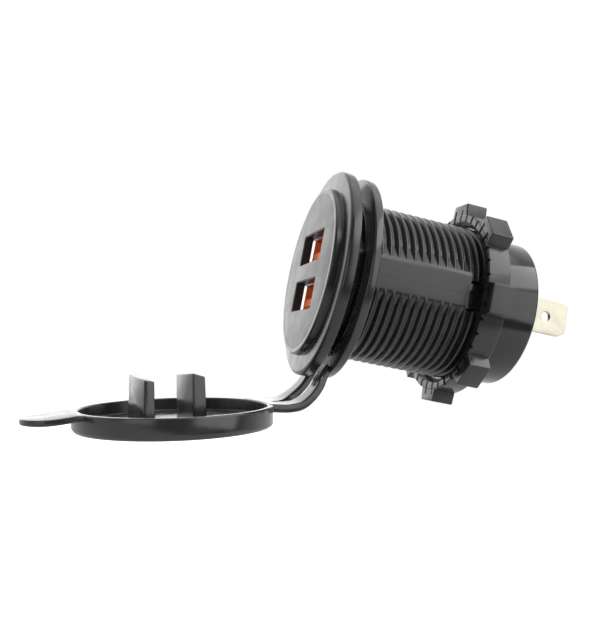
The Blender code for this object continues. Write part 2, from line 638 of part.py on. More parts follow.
def build_spade(name, side, material):
    """Flat blade with chamfered corners and a round hole; a shoulder inside stops it in its slot."""
    root = REAR_BOARD_BACK + SEAT_GAP
    shoulder = CAP_BACK - CAP_END_WALL - SEAT_GAP
    shoulder_root = shoulder - SPADE_SHOULDER_LENGTH
    tip = CAP_BACK + SPADE_LENGTH
    half = SPADE_WIDTH / 2
    wide = SPADE_SHOULDER_WIDTH / 2
    tip_half = half - SPADE_CHAMFER * SPADE_CHAMFER_SLOPE
    edge = [(root, half), (shoulder_root, half), (shoulder_root, wide), (shoulder, wide),
            (shoulder, half), (tip - SPADE_CHAMFER, half), (tip, tip_half)]
    outline = edge + [(y, -z) for y, z in reversed(edge)]
    x = side * SPADE_OFFSET
    low = x - SPADE_THICKNESS / 2
    high = x + SPADE_THICKNESS / 2
    blade = add_object(name, prism(outline, low, high, 0), material)
    drill = disc(SPADE_HOLE_RADIUS, low - PAST, high + PAST, segments=SMALL_SEGMENTS)
    sideways = Matrix.Rotation(-math.pi / 2, 3, "Z")
    bmesh.ops.rotate(drill, verts=drill.verts, cent=(0, 0, 0), matrix=sideways)
    bmesh.ops.translate(drill, verts=drill.verts, vec=(0, tip - SPADE_HOLE_FROM_TIP, 0))
    combine(blade, drill, "DIFFERENCE", "hole")
    return blade


# Ring nut
def nut_lug(angle):
    """One grip lug on the rim: narrower at its top, with softened edges."""
    lug = block((-NUT_LUG_WIDTH / 2, NUT_LUG_WIDTH / 2),
                (NUT_FRONT + NUT_LUG_INSET, NUT_BACK - NUT_LUG_INSET),
                (NUT_RIM_RADIUS - NUT_LUG_ROOT, NUT_LUG_RADIUS))
    for vert in lug.verts:
        at_top = vert.co.z > NUT_RIM_RADIUS
        vert.co.x *= NUT_LUG_TOP_DRAFT if at_top else NUT_LUG_FOOT_DRAFT
    top = [e for e in lug.edges if min(v.co.z for v in e.verts) > NUT_RIM_RADIUS]
    bevel(lug, top, NUT_LUG_ROUND)
    return turn_about_y(lug, 90.0 - angle)


def serration(angle):
    """A V-shaped groove in the nut's front face, from the bore out to the lugs."""
    half = SERRATION_WIDTH / 2
    mouth = NUT_FRONT - INSERT_GAP
    outline = [(-half, mouth), (half, mouth), (0.0, NUT_FRONT + SERRATION_DEPTH)]
    cut = prism(outline, NUT_BORE_RADIUS - PAST, NUT_RIM_RADIUS + SERRATION_RUNOUT, 2)
    return turn_about_y(cut, 90.0 - angle)


def build_nut(material):
    corners = [
        corner(NUT_BORE_RADIUS + NUT_CHAMFER, NUT_FRONT),
        corner(NUT_RIM_RADIUS, NUT_FRONT, NUT_RIM_ROUND),
        corner(NUT_RIM_RADIUS, NUT_BACK, NUT_RIM_ROUND),
        corner(NUT_BORE_RADIUS, NUT_BACK),
        corner(NUT_BORE_RADIUS, NUT_FRONT + NUT_CHAMFER),
    ]
    nut = add_object("ring_nut", turned(corners), material)
    step = 360.0 / NUT_LUG_COUNT
    lugs = [nut_lug(NUT_LUG_PHASE + index * step) for index in range(NUT_LUG_COUNT)]
    combine(nut, merge(lugs), "UNION", "lugs")
    pitch = 360.0 / SERRATION_COUNT
    grooves = [serration((index + 0.5) * pitch) for index in range(SERRATION_COUNT)]
    combine(nut, merge(grooves), "DIFFERENCE", "serrations")
    return nut


# Rubber cover: ring behind the flange, strap, and the cap with its plugs and pull tab
def build_cover_ring(material):
    inner = THREAD_CREST_RADIUS + RUNNING_GAP
    back = COVER_RING_FRONT + COVER_RING_THICKNESS
    corners = [corner(inner, COVER_RING_FRONT),
               corner(COVER_RING_RADIUS, COVER_RING_FRONT, COVER_RING_ROUND),
               corner(COVER_RING_RADIUS, back, COVER_RING_ROUND), corner(inner, back)]
    return add_object("cover_ring", turned(corners), material)


def tab_outline():
    """Pull tab seen from the front: a neck at the rim that widens into a round end."""
    half = TAB_WIDTH / 2
    neck = half * TAB_NECK
    round_centre = COVER_RADIUS + TAB_REACH - half
    sides = [(neck, COVER_RADIUS - TAB_ROOT), (neck, COVER_RADIUS), (half, round_centre)]
    arc = [(half * math.cos(a), round_centre + half * math.sin(a))
           for a in (math.pi * step / 10 for step in range(1, 10))]
    return sides + arc + [(-x, z) for x, z in reversed(sides)]


def plug_shape(z):
    """Flat plug for the free half of one port: drafted faces and a slanted end."""
    base = RIM_SEAT - COVER_DEPTH
    tip = base + PLUG_HEIGHT
    low = z + PLUG_CLEARANCE
    high = low + PLUG_THICKNESS
    plug = block((-PLUG_WIDTH / 2, PLUG_WIDTH / 2), (base - WELD, tip), (low, high))
    for vert in plug.verts:
        if vert.co.y < base:
            continue
        at_top = vert.co.z > (low + high) / 2
        vert.co.x -= math.copysign(PLUG_DRAFT, vert.co.x)
        vert.co.z -= PLUG_DRAFT if at_top else -PLUG_DRAFT / 3
        vert.co.y -= 0.0 if at_top else PLUG_SLANT
    bevel(plug, [e for e in plug.edges if min(v.co.y for v in e.verts) > base], PLUG_ROUND)
    return plug


def build_cover_cap(material):
    floor_inside = RIM_SEAT - COVER_DEPTH
    floor_outside = floor_inside - COVER_FLOOR
    inner = COVER_RADIUS - COVER_SKIRT
    corners = [
        corner(0.0, floor_outside), corner(COVER_RADIUS, floor_outside, COVER_ROUND),
        corner(COVER_RADIUS, RIM_SEAT, COVER_RIM_ROUND), corner(inner, RIM_SEAT, COVER_RIM_ROUND),
        corner(inner, floor_inside), corner(GATE_MARK_RADIUS, floor_inside),
        corner(GATE_MARK_RADIUS - GATE_MARK_SLOPE, floor_inside + GATE_MARK_HEIGHT),
        corner(0.0, floor_inside + GATE_MARK_HEIGHT),
    ]
    cap = add_object("cover_cap", turned(corners), material)
    plugs = [plug_shape(z) for z in PORT_CENTRES.values()]
    combine(cap, merge(plugs), "UNION", "plugs")
    tab_front = RIM_SEAT - TAB_DROP
    tab = prism(tab_outline(), tab_front - TAB_THICKNESS, tab_front, 1)
    rims = [e for e in tab.edges if not edge_runs(e, 1) and max(v.co.z for v in e.verts) > COVER_RADIUS]
    bevel(tab, rims, TAB_ROUND, 2)
    combine(cap, tab, "UNION", "tab")
    for piece in [cap] + [m.object for m in cap.modifiers]:
        piece.data.transform(Matrix.Translation(-HINGE_POINT))
        piece.matrix_world = swing(OPEN_ANGLE) @ Matrix.Translation(HINGE_POINT)
    return cap


def strap_frame(t):
    """Place and directions of the strap at t, from the ring (0) to the cap's rim (1)."""
    opened = swing(OPEN_ANGLE)
    ring_middle = COVER_RING_FRONT + COVER_RING_THICKNESS / 2
    rim_middle = RIM_SEAT - STRAP_THICKNESS / 2 - STRAP_DROP
    start = Vector((0.0, ring_middle, -COVER_RING_RADIUS - SEAT_GAP))
    end = opened @ Vector((0.0, rim_middle, -COVER_RADIUS - SEAT_GAP))
    leave = Vector((0.0, -0.25, -1.0)).normalized()
    arrive = (opened.to_3x3() @ Vector((0, 0, 1))).normalized()
    reach = (end - start).length * STRAP_LOOSENESS
    blend = t * t * (3 - 2 * t)
    place = (start.lerp(end, blend) + (t ** 3 - 2 * t ** 2 + t) * reach * leave
             + (t ** 3 - t ** 2) * reach * arrive)
    along = (6 * t * (1 - t) * (end - start) + (3 * t ** 2 - 4 * t + 1) * reach * leave
             + (3 * t ** 2 - 2 * t) * reach * arrive).normalized()
    across = Vector((1, 0, 0)).lerp(opened.to_3x3() @ Vector((1, 0, 0)), blend)
    across = (across - along * across.dot(along)).normalized()
    return place, across, along.cross(across)


def build_strap(material):
    """Two strands with a slot between them, drawn flat and then bent along the strap's path."""
    steps = 16
    slot_from, slot_to = 2, 14
    half = STRAP_WIDTH / 2
    slot = STRAP_SLOT / 2
    columns = [-half, -slot, slot, half]
    bm = bmesh.new()
    bmesh.ops.create_grid(bm, x_segments=len(columns) - 1, y_segments=steps, size=1.0)
    gap = []
    for face in bm.faces:
        middle = face.calc_center_median()
        row = (middle.y + 1) / 2 * steps
        if abs(middle.x) < 0.3 and slot_from < row < slot_to:
            gap.append(face)
    bmesh.ops.delete(bm, geom=gap, context="FACES")
    thick = bmesh.ops.extrude_face_region(bm, geom=bm.faces[:], use_keep_orig=True)
    top = {g for g in thick["geom"] if isinstance(g, bmesh.types.BMVert)}
    for vert in bm.verts:
        t = (vert.co.y + 1) / 2
        column = columns[round((vert.co.x + 1) / 2 * (len(columns) - 1))]
        place, across, normal = strap_frame(t)
        side = 0.5 if vert in top else -0.5
        vert.co = place + across * column + normal * (side * STRAP_THICKNESS)
    return add_object("cover_strap", bm, material, smooth_below=60.0)


def build():
    clear_scene()
    shell_black = make_material("moulded_black", (0.028, 0.028, 0.03), 0.42)
    face_black = make_material("face_black", (0.03, 0.03, 0.032), 0.36)
    gloss_black = make_material("rear_cap_black", (0.02, 0.02, 0.024), 0.22)
    rubber = make_material("cover_rubber", (0.045, 0.046, 0.048), 0.62)
    steel = make_material("plated_steel", (0.78, 0.77, 0.74), 0.25, 1.0)
    tin = make_material("tinned_brass", (0.86, 0.82, 0.72), 0.3, 1.0)
    gold = make_material("contact_gold", (0.85, 0.62, 0.28), 0.25, 1.0)
    orange = make_material("insulator_orange", (0.78, 0.13, 0.03), 0.4)
    board_green = make_material("board_green", (0.02, 0.16, 0.07), 0.45)
    parts = {
        "can": make_material("capacitor_can", (0.7, 0.71, 0.73), 0.35, 1.0),
        "chip": make_material("chip_epoxy", (0.02, 0.02, 0.02), 0.5),
        "ferrite": make_material("ferrite", (0.06, 0.06, 0.065), 0.6),
        "copper": make_material("winding_copper", (0.72, 0.3, 0.13), 0.35, 1.0),
    }
    build_barrel(shell_black)
    build_face_plate(face_black)
    for port, z in PORT_CENTRES.items():
        build_shell(port, z, steel)
        build_insulator(port, z, orange)
        build_contacts(port, z, gold)
    build_boards(board_green, gold, parts)
    build_rear_cap(gloss_black)
    build_spade("spade_positive", 1, tin)
    build_spade("spade_negative", -1, tin)
    build_nut(shell_black)
    build_cover_ring(rubber)
    build_strap(rubber)
    build_cover_cap(rubber)


build()
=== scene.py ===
# %% [markdown]
# # Panel-mount dual USB socket with a rubber cover
# The imported CAD model is the fixed frame: its sizes and places don't change here. On top of it this
# script builds the looks. Round plastic parts are modelled again with finer facets and softened
# edges, the rubber cover becomes one piece, and every surface gets a material
# made from nodes.

# %% Load the frame
import json
import math

import bmesh
import bpy
from mathutils import Matrix, Vector


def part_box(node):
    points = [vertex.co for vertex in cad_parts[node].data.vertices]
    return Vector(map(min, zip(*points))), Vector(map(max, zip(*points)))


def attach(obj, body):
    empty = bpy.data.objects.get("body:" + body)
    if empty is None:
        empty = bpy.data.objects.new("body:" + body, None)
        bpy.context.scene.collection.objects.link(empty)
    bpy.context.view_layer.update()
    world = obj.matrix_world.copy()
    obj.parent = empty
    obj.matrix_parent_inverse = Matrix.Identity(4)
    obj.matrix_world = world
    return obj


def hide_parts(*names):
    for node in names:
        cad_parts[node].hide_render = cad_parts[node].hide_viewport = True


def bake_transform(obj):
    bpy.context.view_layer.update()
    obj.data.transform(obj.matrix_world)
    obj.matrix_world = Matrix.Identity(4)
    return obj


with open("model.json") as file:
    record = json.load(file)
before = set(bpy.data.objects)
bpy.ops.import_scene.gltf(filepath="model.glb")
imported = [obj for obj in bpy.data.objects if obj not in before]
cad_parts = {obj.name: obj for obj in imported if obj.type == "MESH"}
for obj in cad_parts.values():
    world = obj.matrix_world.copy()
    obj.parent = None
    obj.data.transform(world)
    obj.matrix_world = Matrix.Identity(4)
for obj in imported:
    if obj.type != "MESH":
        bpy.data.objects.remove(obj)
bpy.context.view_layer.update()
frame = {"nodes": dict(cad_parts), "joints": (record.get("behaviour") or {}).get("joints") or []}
nodes = frame["nodes"]
MM = 0.001

# %% [markdown]
# ## Sizes taken from the frame
# Every size that the frame already holds is read from it, so a change in the CAD carries over.
# Sizes that the boxes can't show, such as the thread's depth, are named once here. A cutter runs
# PAST the face that it opens, and points closer than MERGE are one point.

# %% Sizes
barrel_low, barrel_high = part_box("threaded_barrel")
FLANGE_RADIUS = barrel_high.x
FACE_FRONT = barrel_low.y
BARREL_END = barrel_high.y
FLANGE_FRONT = -2.0 * MM
BOSS_RADIUS = 15.4 * MM
FACE_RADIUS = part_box("face_plate")[1].x
FACE_BACK = FACE_FRONT + 1.55 * MM

CREST_RADIUS = 14.4 * MM
ROOT_RADIUS = 13.6 * MM
BORE_RADIUS = 12.2 * MM
PITCH = 1.5 * MM
THREAD_START = 1.3 * MM
THREAD_END = 27.0 * MM
LAND_HALF_WIDTH = 2.8 * MM
LAND_X = math.sqrt(CREST_RADIUS ** 2 - LAND_HALF_WIDTH ** 2)
LAND_HIGH = 2.8 * MM
LAND_LOW = 2.2 * MM
LAND_SHOULDER = 0.7 * MM
LAND_DROP = 0.2 * MM
LAND_RAMP = 2.2 * MM
LAND_RISE = 0.3 * MM
LAND_START = 0.4 * MM
LAND_END = 22.0 * MM
SEAM_DEPTH = 0.07 * MM
SEAM_HALF_WIDTH = 0.06 * MM
NOTCH_HALF_WIDTH = 2.7 * MM
NOTCH_ROUND = 1.2 * MM

NUT_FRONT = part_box("ring_nut")[0].y
NUT_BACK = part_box("ring_nut")[1].y
CAP_FRONT = BARREL_END + 0.3 * MM
CAP_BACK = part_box("rear_cap")[1].y
CAP_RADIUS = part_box("rear_cap")[1].x

PAST = 1 * MM
CUT_REACH = CREST_RADIUS + 0.6 * MM
MERGE = 0.001 * MM
print("flange radius", round(FLANGE_RADIUS / MM, 2), "mm,",
      "barrel end", round(BARREL_END / MM, 2), "mm")

# %% [markdown]
# ## Helpers for solid pieces
# A turned part is a wire outline spun about the barrel's axis. The outline's corners are rounded
# first, with a vertex bevel, because a wire is quick to round and the spin then carries the soft
# edge all the way round. A flat outline pulled along a line makes blades, flats, teeth and the pull
# tab. Holes, slots and lugs come from boolean modifiers with the exact solver. Each is applied at
# once, so a finished piece is a plain mesh.

# %% Turned, straight and pulled shapes
def soften(bm, items, offset, segments=4, affect="EDGES"):
    """Round some edges, or some corners of a wire."""
    bmesh.ops.bevel(bm, geom=items, offset=offset, offset_type="OFFSET", segments=segments,
                    profile=0.5, affect=affect, material=-1)


def turned(outline, segments=144, closed=False):
    """Spin (radius, y, rounding) points about the Y axis. A closed outline makes a ring."""
    bm = bmesh.new()
    verts = [bm.verts.new((radius, y, 0.0)) for radius, y, _ in outline]
    pairs = list(zip(verts, verts[1:]))
    if closed:
        pairs.append((verts[-1], verts[0]))
    for pair in pairs:
        bm.edges.new(pair)
    for vert, (_, _, rounding) in list(zip(verts, outline)):
        if rounding:
            soften(bm, [vert], rounding, affect="VERTICES")
    bmesh.ops.spin(bm, geom=bm.verts[:] + bm.edges[:], cent=(0, 0, 0), axis=(0, 1, 0),
                   angle=2 * math.pi, steps=segments, use_merge=True)
    bmesh.ops.remove_doubles(bm, verts=bm.verts, dist=MERGE)
    bmesh.ops.recalc_face_normals(bm, faces=bm.faces)
    return bm


def bar(low, high, rounding=0.0, along=None):
    """A box between two corners, with the edges along one axis (or all of them) rounded."""
    low, high = Vector(low), Vector(high)
    bm = bmesh.new()
    bmesh.ops.create_cube(bm, size=1.0)
    bmesh.ops.scale(bm, vec=high - low, verts=bm.verts)
    bmesh.ops.translate(bm, vec=(low + high) / 2, verts=bm.verts)
    if rounding:
        soften(bm, [e for e in bm.edges if along is None or runs_along(e, along)], rounding)
    return bm


def runs_along(edge, axis):
    span = edge.verts[1].co - edge.verts[0].co
    return abs(span[axis]) > 0.9 * span.length


def slice_at(bm, place, direction, tolerance, clear=False):
    """Cut new edges in a plane, and drop what lies beyond it if asked."""
    bmesh.ops.bisect_plane(bm, geom=bm.verts[:] + bm.edges[:] + bm.faces[:], dist=tolerance,
                           plane_co=place, plane_no=direction, clear_outer=clear)


def funnel(low, high, rounding, flare, depth):
    """A bar along Y whose front widens. Used as a cutter it leaves a chamfered opening."""
    low, high = Vector(low), Vector(high)
    bm = bar(low, high, rounding, along=1)
    slice_at(bm, (0, low.y + depth, 0), (0, 1, 0), 0.1 * MERGE)
    half = (high - low) / 2
    grow = Vector(((half.x + flare) / half.x, 1, (half.z + flare) / half.z))
    front = [vert for vert in bm.verts if vert.co.y < low.y + depth / 2]
    bmesh.ops.scale(bm, vec=grow, space=Matrix.Translation(-(low + high) / 2), verts=front)
    return bm


def verts_of(result):
    return [item for item in result["geom"] if isinstance(item, bmesh.types.BMVert)]


def pulled(points, shift):
    """A flat outline pulled along a line, closed at both ends."""
    bm = bmesh.new()
    face = bm.faces.new([bm.verts.new(point) for point in points])
    lifted = bmesh.ops.extrude_face_region(bm, geom=[face])
    bmesh.ops.translate(bm, vec=shift, verts=verts_of(lifted))
    bmesh.ops.holes_fill(bm, edges=[e for e in bm.edges if e.is_boundary], sides=len(points))
    bmesh.ops.recalc_face_normals(bm, faces=bm.faces)
    return bm


# %% Objects, booleans and finished pieces
def as_object(name, bm):
    mesh = bpy.data.meshes.new(name)
    bm.to_mesh(mesh)
    bm.free()
    piece = bpy.data.objects.new(name, mesh)
    bpy.context.scene.collection.objects.link(piece)
    return piece


def work(piece, operation, *shapes):
    """Cut shapes out of a piece or weld them on, and keep the result as a plain mesh."""
    for bm in shapes:
        tool = as_object("tool", bm)
        modifier = piece.modifiers.new("work", "BOOLEAN")
        modifier.operation = operation
        modifier.solver = "EXACT"
        modifier.object = tool
        graph = bpy.context.evaluated_depsgraph_get()
        result = bpy.data.meshes.new_from_object(piece.evaluated_get(graph))
        piece.modifiers.clear()
        piece.data = result
        bpy.data.objects.remove(tool)
    return piece


def finish_piece(piece, material, body, replaced=(), sharp=32.0):
    """Give a piece its shading, material and place in the frame, and say how big it is."""
    mesh = piece.data
    mesh.materials.clear()
    mesh.materials.append(material)
    mesh.shade_smooth()
    mesh.set_sharp_from_angle(angle=math.radians(sharp))
    if body:
        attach(piece, body)
    if replaced:
        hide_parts(*replaced)
    print(piece.name, len(mesh.vertices), "vertices,", len(mesh.polygons), "faces")


def dress(node_name, material):
    """Give a node that stays as the CAD model has it its own material."""
    materials = nodes[node_name].data.materials
    materials.clear()
    materials.append(material)


# %% [markdown]
# ## Moulded black plastic
# The bezel, barrel and nut are moulded from black plastic with a satin skin. Under a lamp such a
# skin shows three things: a very fine grain, faint flow streaks along the axis where roughness
# drifts, and edges that have been rubbed a little smoother. Noise textures on Object coordinates
# give the first two, and the rounded edges of the pieces give the third.

# %% Node helper
def new_material(name, base, roughness, metallic=0.0, specular=0.5):
    material = bpy.data.materials.new(name)
    material.use_nodes = True
    shader = material.node_tree.nodes["Principled BSDF"]
    shader.inputs["Base Color"].default_value = (*base, 1.0)
    shader.inputs["Roughness"].default_value = roughness
    shader.inputs["Metallic"].default_value = metallic
    shader.inputs["Specular IOR Level"].default_value = specular
    return material, material.node_tree, shader


def coordinates(tree, scale=(1.0, 1.0, 1.0)):
    """Object coordinates, stretched by a mapping so that a pattern can run along one axis."""
    source = tree.nodes.new("ShaderNodeTexCoord")
    mapping = tree.nodes.new("ShaderNodeMapping")
    mapping.inputs["Scale"].default_value = scale
    tree.links.new(source.outputs["Object"], mapping.inputs["Vector"])
    return mapping.outputs["Vector"]


def noise(tree, vector, per_metre, detail=3.0):
    texture = tree.nodes.new("ShaderNodeTexNoise")
    texture.inputs["Scale"].default_value = per_metre
    texture.inputs["Detail"].default_value = detail
    tree.links.new(vector, texture.inputs["Vector"])
    return texture.outputs["Fac"]


def ramp(tree, value, low, high, out_low, out_high):
    """Map one range of a value to another, held at both ends."""
    node = tree.nodes.new("ShaderNodeMapRange")
    node.inputs["From Min"].default_value = low
    node.inputs["From Max"].default_value = high
    node.inputs["To Min"].default_value = out_low
    node.inputs["To Max"].default_value = out_high
    tree.links.new(value, node.inputs["Value"])
    return node.outputs["Result"]


def two_tones(tree, factor, first, second):
    node = tree.nodes.new("ShaderNodeMix")
    node.data_type = "RGBA"
    tree.links.new(factor, node.inputs["Factor"])
    node.inputs["A"].default_value = (*first, 1.0)
    node.inputs["B"].default_value = (*second, 1.0)
    return node.outputs["Result"]


def bump(tree, shader, heights, distance, strength):
    node = tree.nodes.new("ShaderNodeBump")
    node.inputs["Distance"].default_value = distance
    node.inputs["Strength"].default_value = strength
    tree.links.new(heights, node.inputs["Height"])
    tree.links.new(node.outputs["Normal"], shader.inputs["Normal"])


# %% Satin and gloss blacks
def moulded_plastic(name, dark, light, rough_low, rough_high, grain=0.012 * MM, specular=0.5):
    material, tree, shader = new_material(name, dark, rough_high, specular=specular)
    streaks = noise(tree, coordinates(tree, (1.0, 0.25, 1.0)), 260.0)
    drift = ramp(tree, streaks, 0.35, 0.65, rough_low, rough_high)
    tree.links.new(drift, shader.inputs["Roughness"])
    tree.links.new(two_tones(tree, streaks, dark, light), shader.inputs["Base Color"])
    skin = noise(tree, coordinates(tree), 5200.0, 4.0)
    bump(tree, shader, skin, grain, 0.35)
    return material


SATIN_BLACK = moulded_plastic("moulded_black", (0.011, 0.011, 0.012), (0.018, 0.018, 0.019),
                              0.2, 0.29)
FACE_BLACK = moulded_plastic("face_black", (0.02, 0.02, 0.021), (0.03, 0.03, 0.031), 0.30, 0.38)
GLOSS_BLACK = moulded_plastic("rear_cap_black", (0.010, 0.009, 0.012), (0.014, 0.013, 0.016),
                              0.1, 0.15, grain=0.006 * MM)

# %% [markdown]
# ## The thread
# On the real barrel the thread is moulded, with a pitch of 1.5 mm and broad rounded crests. One
# pitch of its outline is drawn as a wire, its corners are rounded, and `spin` with a step along Y
# carries it along a helix. Each turn starts where the last one ended, so merging doubles makes one
# surface. Two cuts with `bisect_plane` leave flat round ends that are easy to fill.

# %% Threaded rod
TURN_STEPS = 120
CREST_ROUND = 0.2 * MM


def threaded_rod():
    root_flat = 0.36 * MM
    crest_flat = 0.42 * MM
    flank = (PITCH - root_flat - crest_flat) / 2
    first = THREAD_START - 1.5 * PITCH
    outline = [(ROOT_RADIUS, 0.0), (CREST_RADIUS, flank), (CREST_RADIUS, flank + crest_flat),
               (ROOT_RADIUS, 2 * flank + crest_flat), (ROOT_RADIUS, PITCH)]
    bm = bmesh.new()
    verts = [bm.verts.new((radius, first + y, 0.0)) for radius, y in outline]
    for pair in zip(verts, verts[1:]):
        bm.edges.new(pair)
    soften(bm, verts[1:3], CREST_ROUND, affect="VERTICES")
    turns = math.ceil((THREAD_END - first) / PITCH) + 1
    bmesh.ops.spin(bm, geom=bm.verts[:] + bm.edges[:], cent=(0, 0, 0), axis=(0, 1, 0),
                   angle=2 * math.pi * turns, dvec=(0, PITCH / TURN_STEPS, 0),
                   steps=turns * TURN_STEPS)
    bmesh.ops.remove_doubles(bm, verts=bm.verts, dist=MERGE)
    for y, outward in ((THREAD_START, -1), (THREAD_END, 1)):
        slice_at(bm, (0, y, 0), (0, outward, 0), 0.5 * MERGE, clear=True)
    bmesh.ops.remove_doubles(bm, verts=bm.verts, dist=2 * MERGE)
    rim = [e for e in bm.edges if e.is_boundary]
    middle = (THREAD_START + THREAD_END) / 2
    bmesh.ops.contextual_create(bm, geom=[e for e in rim if e.verts[0].co.y < middle])
    bmesh.ops.contextual_create(bm, geom=[e for e in rim if e.verts[0].co.y > middle])
    bmesh.ops.recalc_face_normals(bm, faces=bm.faces)
    return bm


# %% [markdown]
# ## Bezel and barrel
# Flange, boss and barrel are one moulding. The turned core has no thread. The rod is welded on,
# then the two smooth lands where the mould halves meet, and last the notches behind the lands and
# the bore are cut. A land has a shoulder and a ramp on each side, in which the thread fades out. It
# is first drawn too high and then shaved by one plane, which cuts it and the thread's crests in a
# single flat. A fine groove along its middle is the seam of the mould. Each notch has one rounded
# corner, as the one in the photograph does.

# %% Lands
def land(side):
    """A flat with a shoulder and a ramp on each side: one cross-section pulled along Y."""
    spare = 0.4 * MM
    foot_depth = 0.1 * MM
    inside = BORE_RADIUS + 0.3 * MM
    section = [(inside, -LAND_LOW), (inside, LAND_HIGH)]
    for edge, sign in ((LAND_HIGH, 1), (LAND_LOW, -1)):
        shoulder = edge + LAND_SHOULDER
        ramp_end = shoulder + LAND_RAMP
        foot = math.sqrt(ROOT_RADIUS ** 2 - ramp_end ** 2) - foot_depth
        top = edge - spare * LAND_SHOULDER / LAND_DROP
        part = [(foot, sign * ramp_end), (LAND_X - LAND_DROP, sign * shoulder),
                (LAND_X + spare, sign * top)]
        section += part if sign > 0 else reversed(part)
    return pulled([(side * x, LAND_START, z) for x, z in section],
                  (0, LAND_END + 0.3 * MM - LAND_START, LAND_RISE))


def notch():
    """A slot through both walls at the barrel's end, with one rounded corner."""
    bm = bar((-CUT_REACH, LAND_END, -NOTCH_HALF_WIDTH),
             (CUT_REACH, BARREL_END + PAST, NOTCH_HALF_WIDTH))
    corner = [e for e in bm.edges if runs_along(e, 0)
              and e.verts[0].co.y < BARREL_END and e.verts[0].co.z > 0]
    soften(bm, corner, NOTCH_ROUND, segments=5)
    return bm


# %% Barrel
FACE_JOINT = 0.012 * MM
FACE_JOINT_ROUND = 0.04 * MM


def build_barrel():
    recess = FACE_RADIUS + FACE_JOINT
    seat = FACE_BACK + 0.1 * MM
    neck = ROOT_RADIUS - 0.08 * MM
    core = turned([
        (0.0, seat, 0), (recess, seat, 0), (recess, FACE_FRONT, FACE_JOINT_ROUND),
        (BOSS_RADIUS, FACE_FRONT, 0.35 * MM), (BOSS_RADIUS, FLANGE_FRONT, 0.12 * MM),
        (FLANGE_RADIUS, FLANGE_FRONT, 0.7 * MM), (FLANGE_RADIUS, 0.0, 0.25 * MM),
        (neck, 0.0, 0.1 * MM), (neck, BARREL_END, 0.25 * MM), (0.0, BARREL_END, 0),
    ])
    barrel = as_object("bezel_and_barrel", core)
    work(barrel, "UNION", threaded_rod(), land(1), land(-1))
    for side in (1, -1):
        low, high = sorted((side * LAND_X, side * CUT_REACH))
        flat = bar((low, LAND_START / 2, -2 * LAND_HALF_WIDTH),
                   (high, BARREL_END + PAST, 2 * LAND_HALF_WIDTH))
        low, high = sorted((side * (LAND_X - SEAM_DEPTH), side * CUT_REACH))
        seam = bar((low, LAND_START + 0.4 * MM, -SEAM_HALF_WIDTH),
                   (high, LAND_END + PAST, SEAM_HALF_WIDTH))
        work(barrel, "DIFFERENCE", flat, seam)
    bore = turned([(0.0, seat - PAST, 0), (BORE_RADIUS, seat - PAST, 0),
                   (BORE_RADIUS, BARREL_END + PAST, 0), (0.0, BARREL_END + PAST, 0)])
    work(barrel, "DIFFERENCE", notch(), bore)
    finish_piece(barrel, SATIN_BLACK, "socket", ["threaded_barrel"])


build_barrel()

# %% [markdown]
# ## Face plate
# A separate round plate closes the front, and a fine ring shows where it sits in the boss. Two
# windows let the plugs through. Each window's cutter is a bar with rounded corners whose front end
# is widened a little, so the same cut also leaves a small chamfer round the window. The plate is
# bare, with only the fine spark-eroded grain that such plates have.

# %% Face plate
PORT_HEIGHTS = {"upper": 4.45 * MM, "lower": -4.45 * MM}
WINDOW = Vector((13.3 * MM, 0.0, 5.5 * MM))
SOCKET_HALF = Vector((6.75 * MM, 0, 2.96 * MM))
COLLAR_WALL = 0.9 * MM
COLLAR_LENGTH = 4.0 * MM


def window_cutter(centre_z):
    half = WINDOW / 2
    chamfer = 0.2 * MM
    return funnel((-half.x, FACE_FRONT - chamfer, centre_z - half.z),
                  (half.x, FACE_BACK + PAST, centre_z + half.z), 0.3 * MM, 2 * chamfer, 2 * chamfer)


def build_face_plate():
    collar_back = FACE_BACK + COLLAR_LENGTH
    plate = as_object("face_insert", turned([
        (0.0, FACE_FRONT, 0), (FACE_RADIUS, FACE_FRONT, FACE_JOINT_ROUND),
        (FACE_RADIUS, FACE_BACK, 0.1 * MM), (0.0, FACE_BACK, 0)]))
    top = PORT_HEIGHTS["upper"] + SOCKET_HALF.z + COLLAR_WALL
    side = SOCKET_HALF.x + COLLAR_WALL
    work(plate, "UNION", bar((-side, FACE_BACK - 0.5 * MM, -top), (side, collar_back, top),
                             COLLAR_WALL, along=1))
    for centre_z in PORT_HEIGHTS.values():
        socket = bar((-SOCKET_HALF.x, FACE_BACK, centre_z - SOCKET_HALF.z),
                     (SOCKET_HALF.x, collar_back + PAST, centre_z + SOCKET_HALF.z))
        work(plate, "DIFFERENCE", socket, window_cutter(centre_z))
    finish_piece(plate, FACE_BLACK, "socket", ["face_plate"])


build_face_plate()

# %% [markdown]
# ## Metals
# The shells of the ports are bright nickel plate, the blades are tin over brass with a warm tone,
# and the contacts are flashed with gold. Rolled and plated sheet shows fine lines along the rolling
# direction and a cloudy roughness. Both are noise here, one of them stretched along the sheet.

# %% Plated sheet
def plated_sheet(name, first, second, rough_low, rough_high, rolling=(1.0, 0.05, 1.0)):
    material, tree, shader = new_material(name, first, rough_high, metallic=1.0)
    cloud = noise(tree, coordinates(tree), 420.0, 4.0)
    tree.links.new(two_tones(tree, cloud, first, second), shader.inputs["Base Color"])
    tree.links.new(ramp(tree, cloud, 0.3, 0.7, rough_low, rough_high), shader.inputs["Roughness"])
    lines = noise(tree, coordinates(tree, rolling), 6000.0)
    bump(tree, shader, lines, 0.004 * MM, 0.25)
    return material


NICKEL = plated_sheet("plated_steel", (0.80, 0.79, 0.76), (0.70, 0.69, 0.66), 0.16, 0.28)
TIN = plated_sheet("tinned_brass", (0.50, 0.47, 0.39), (0.44, 0.41, 0.33), 0.22, 0.34)
GOLD = plated_sheet("contact_gold", (0.88, 0.64, 0.28), (0.78, 0.54, 0.22), 0.18, 0.28)

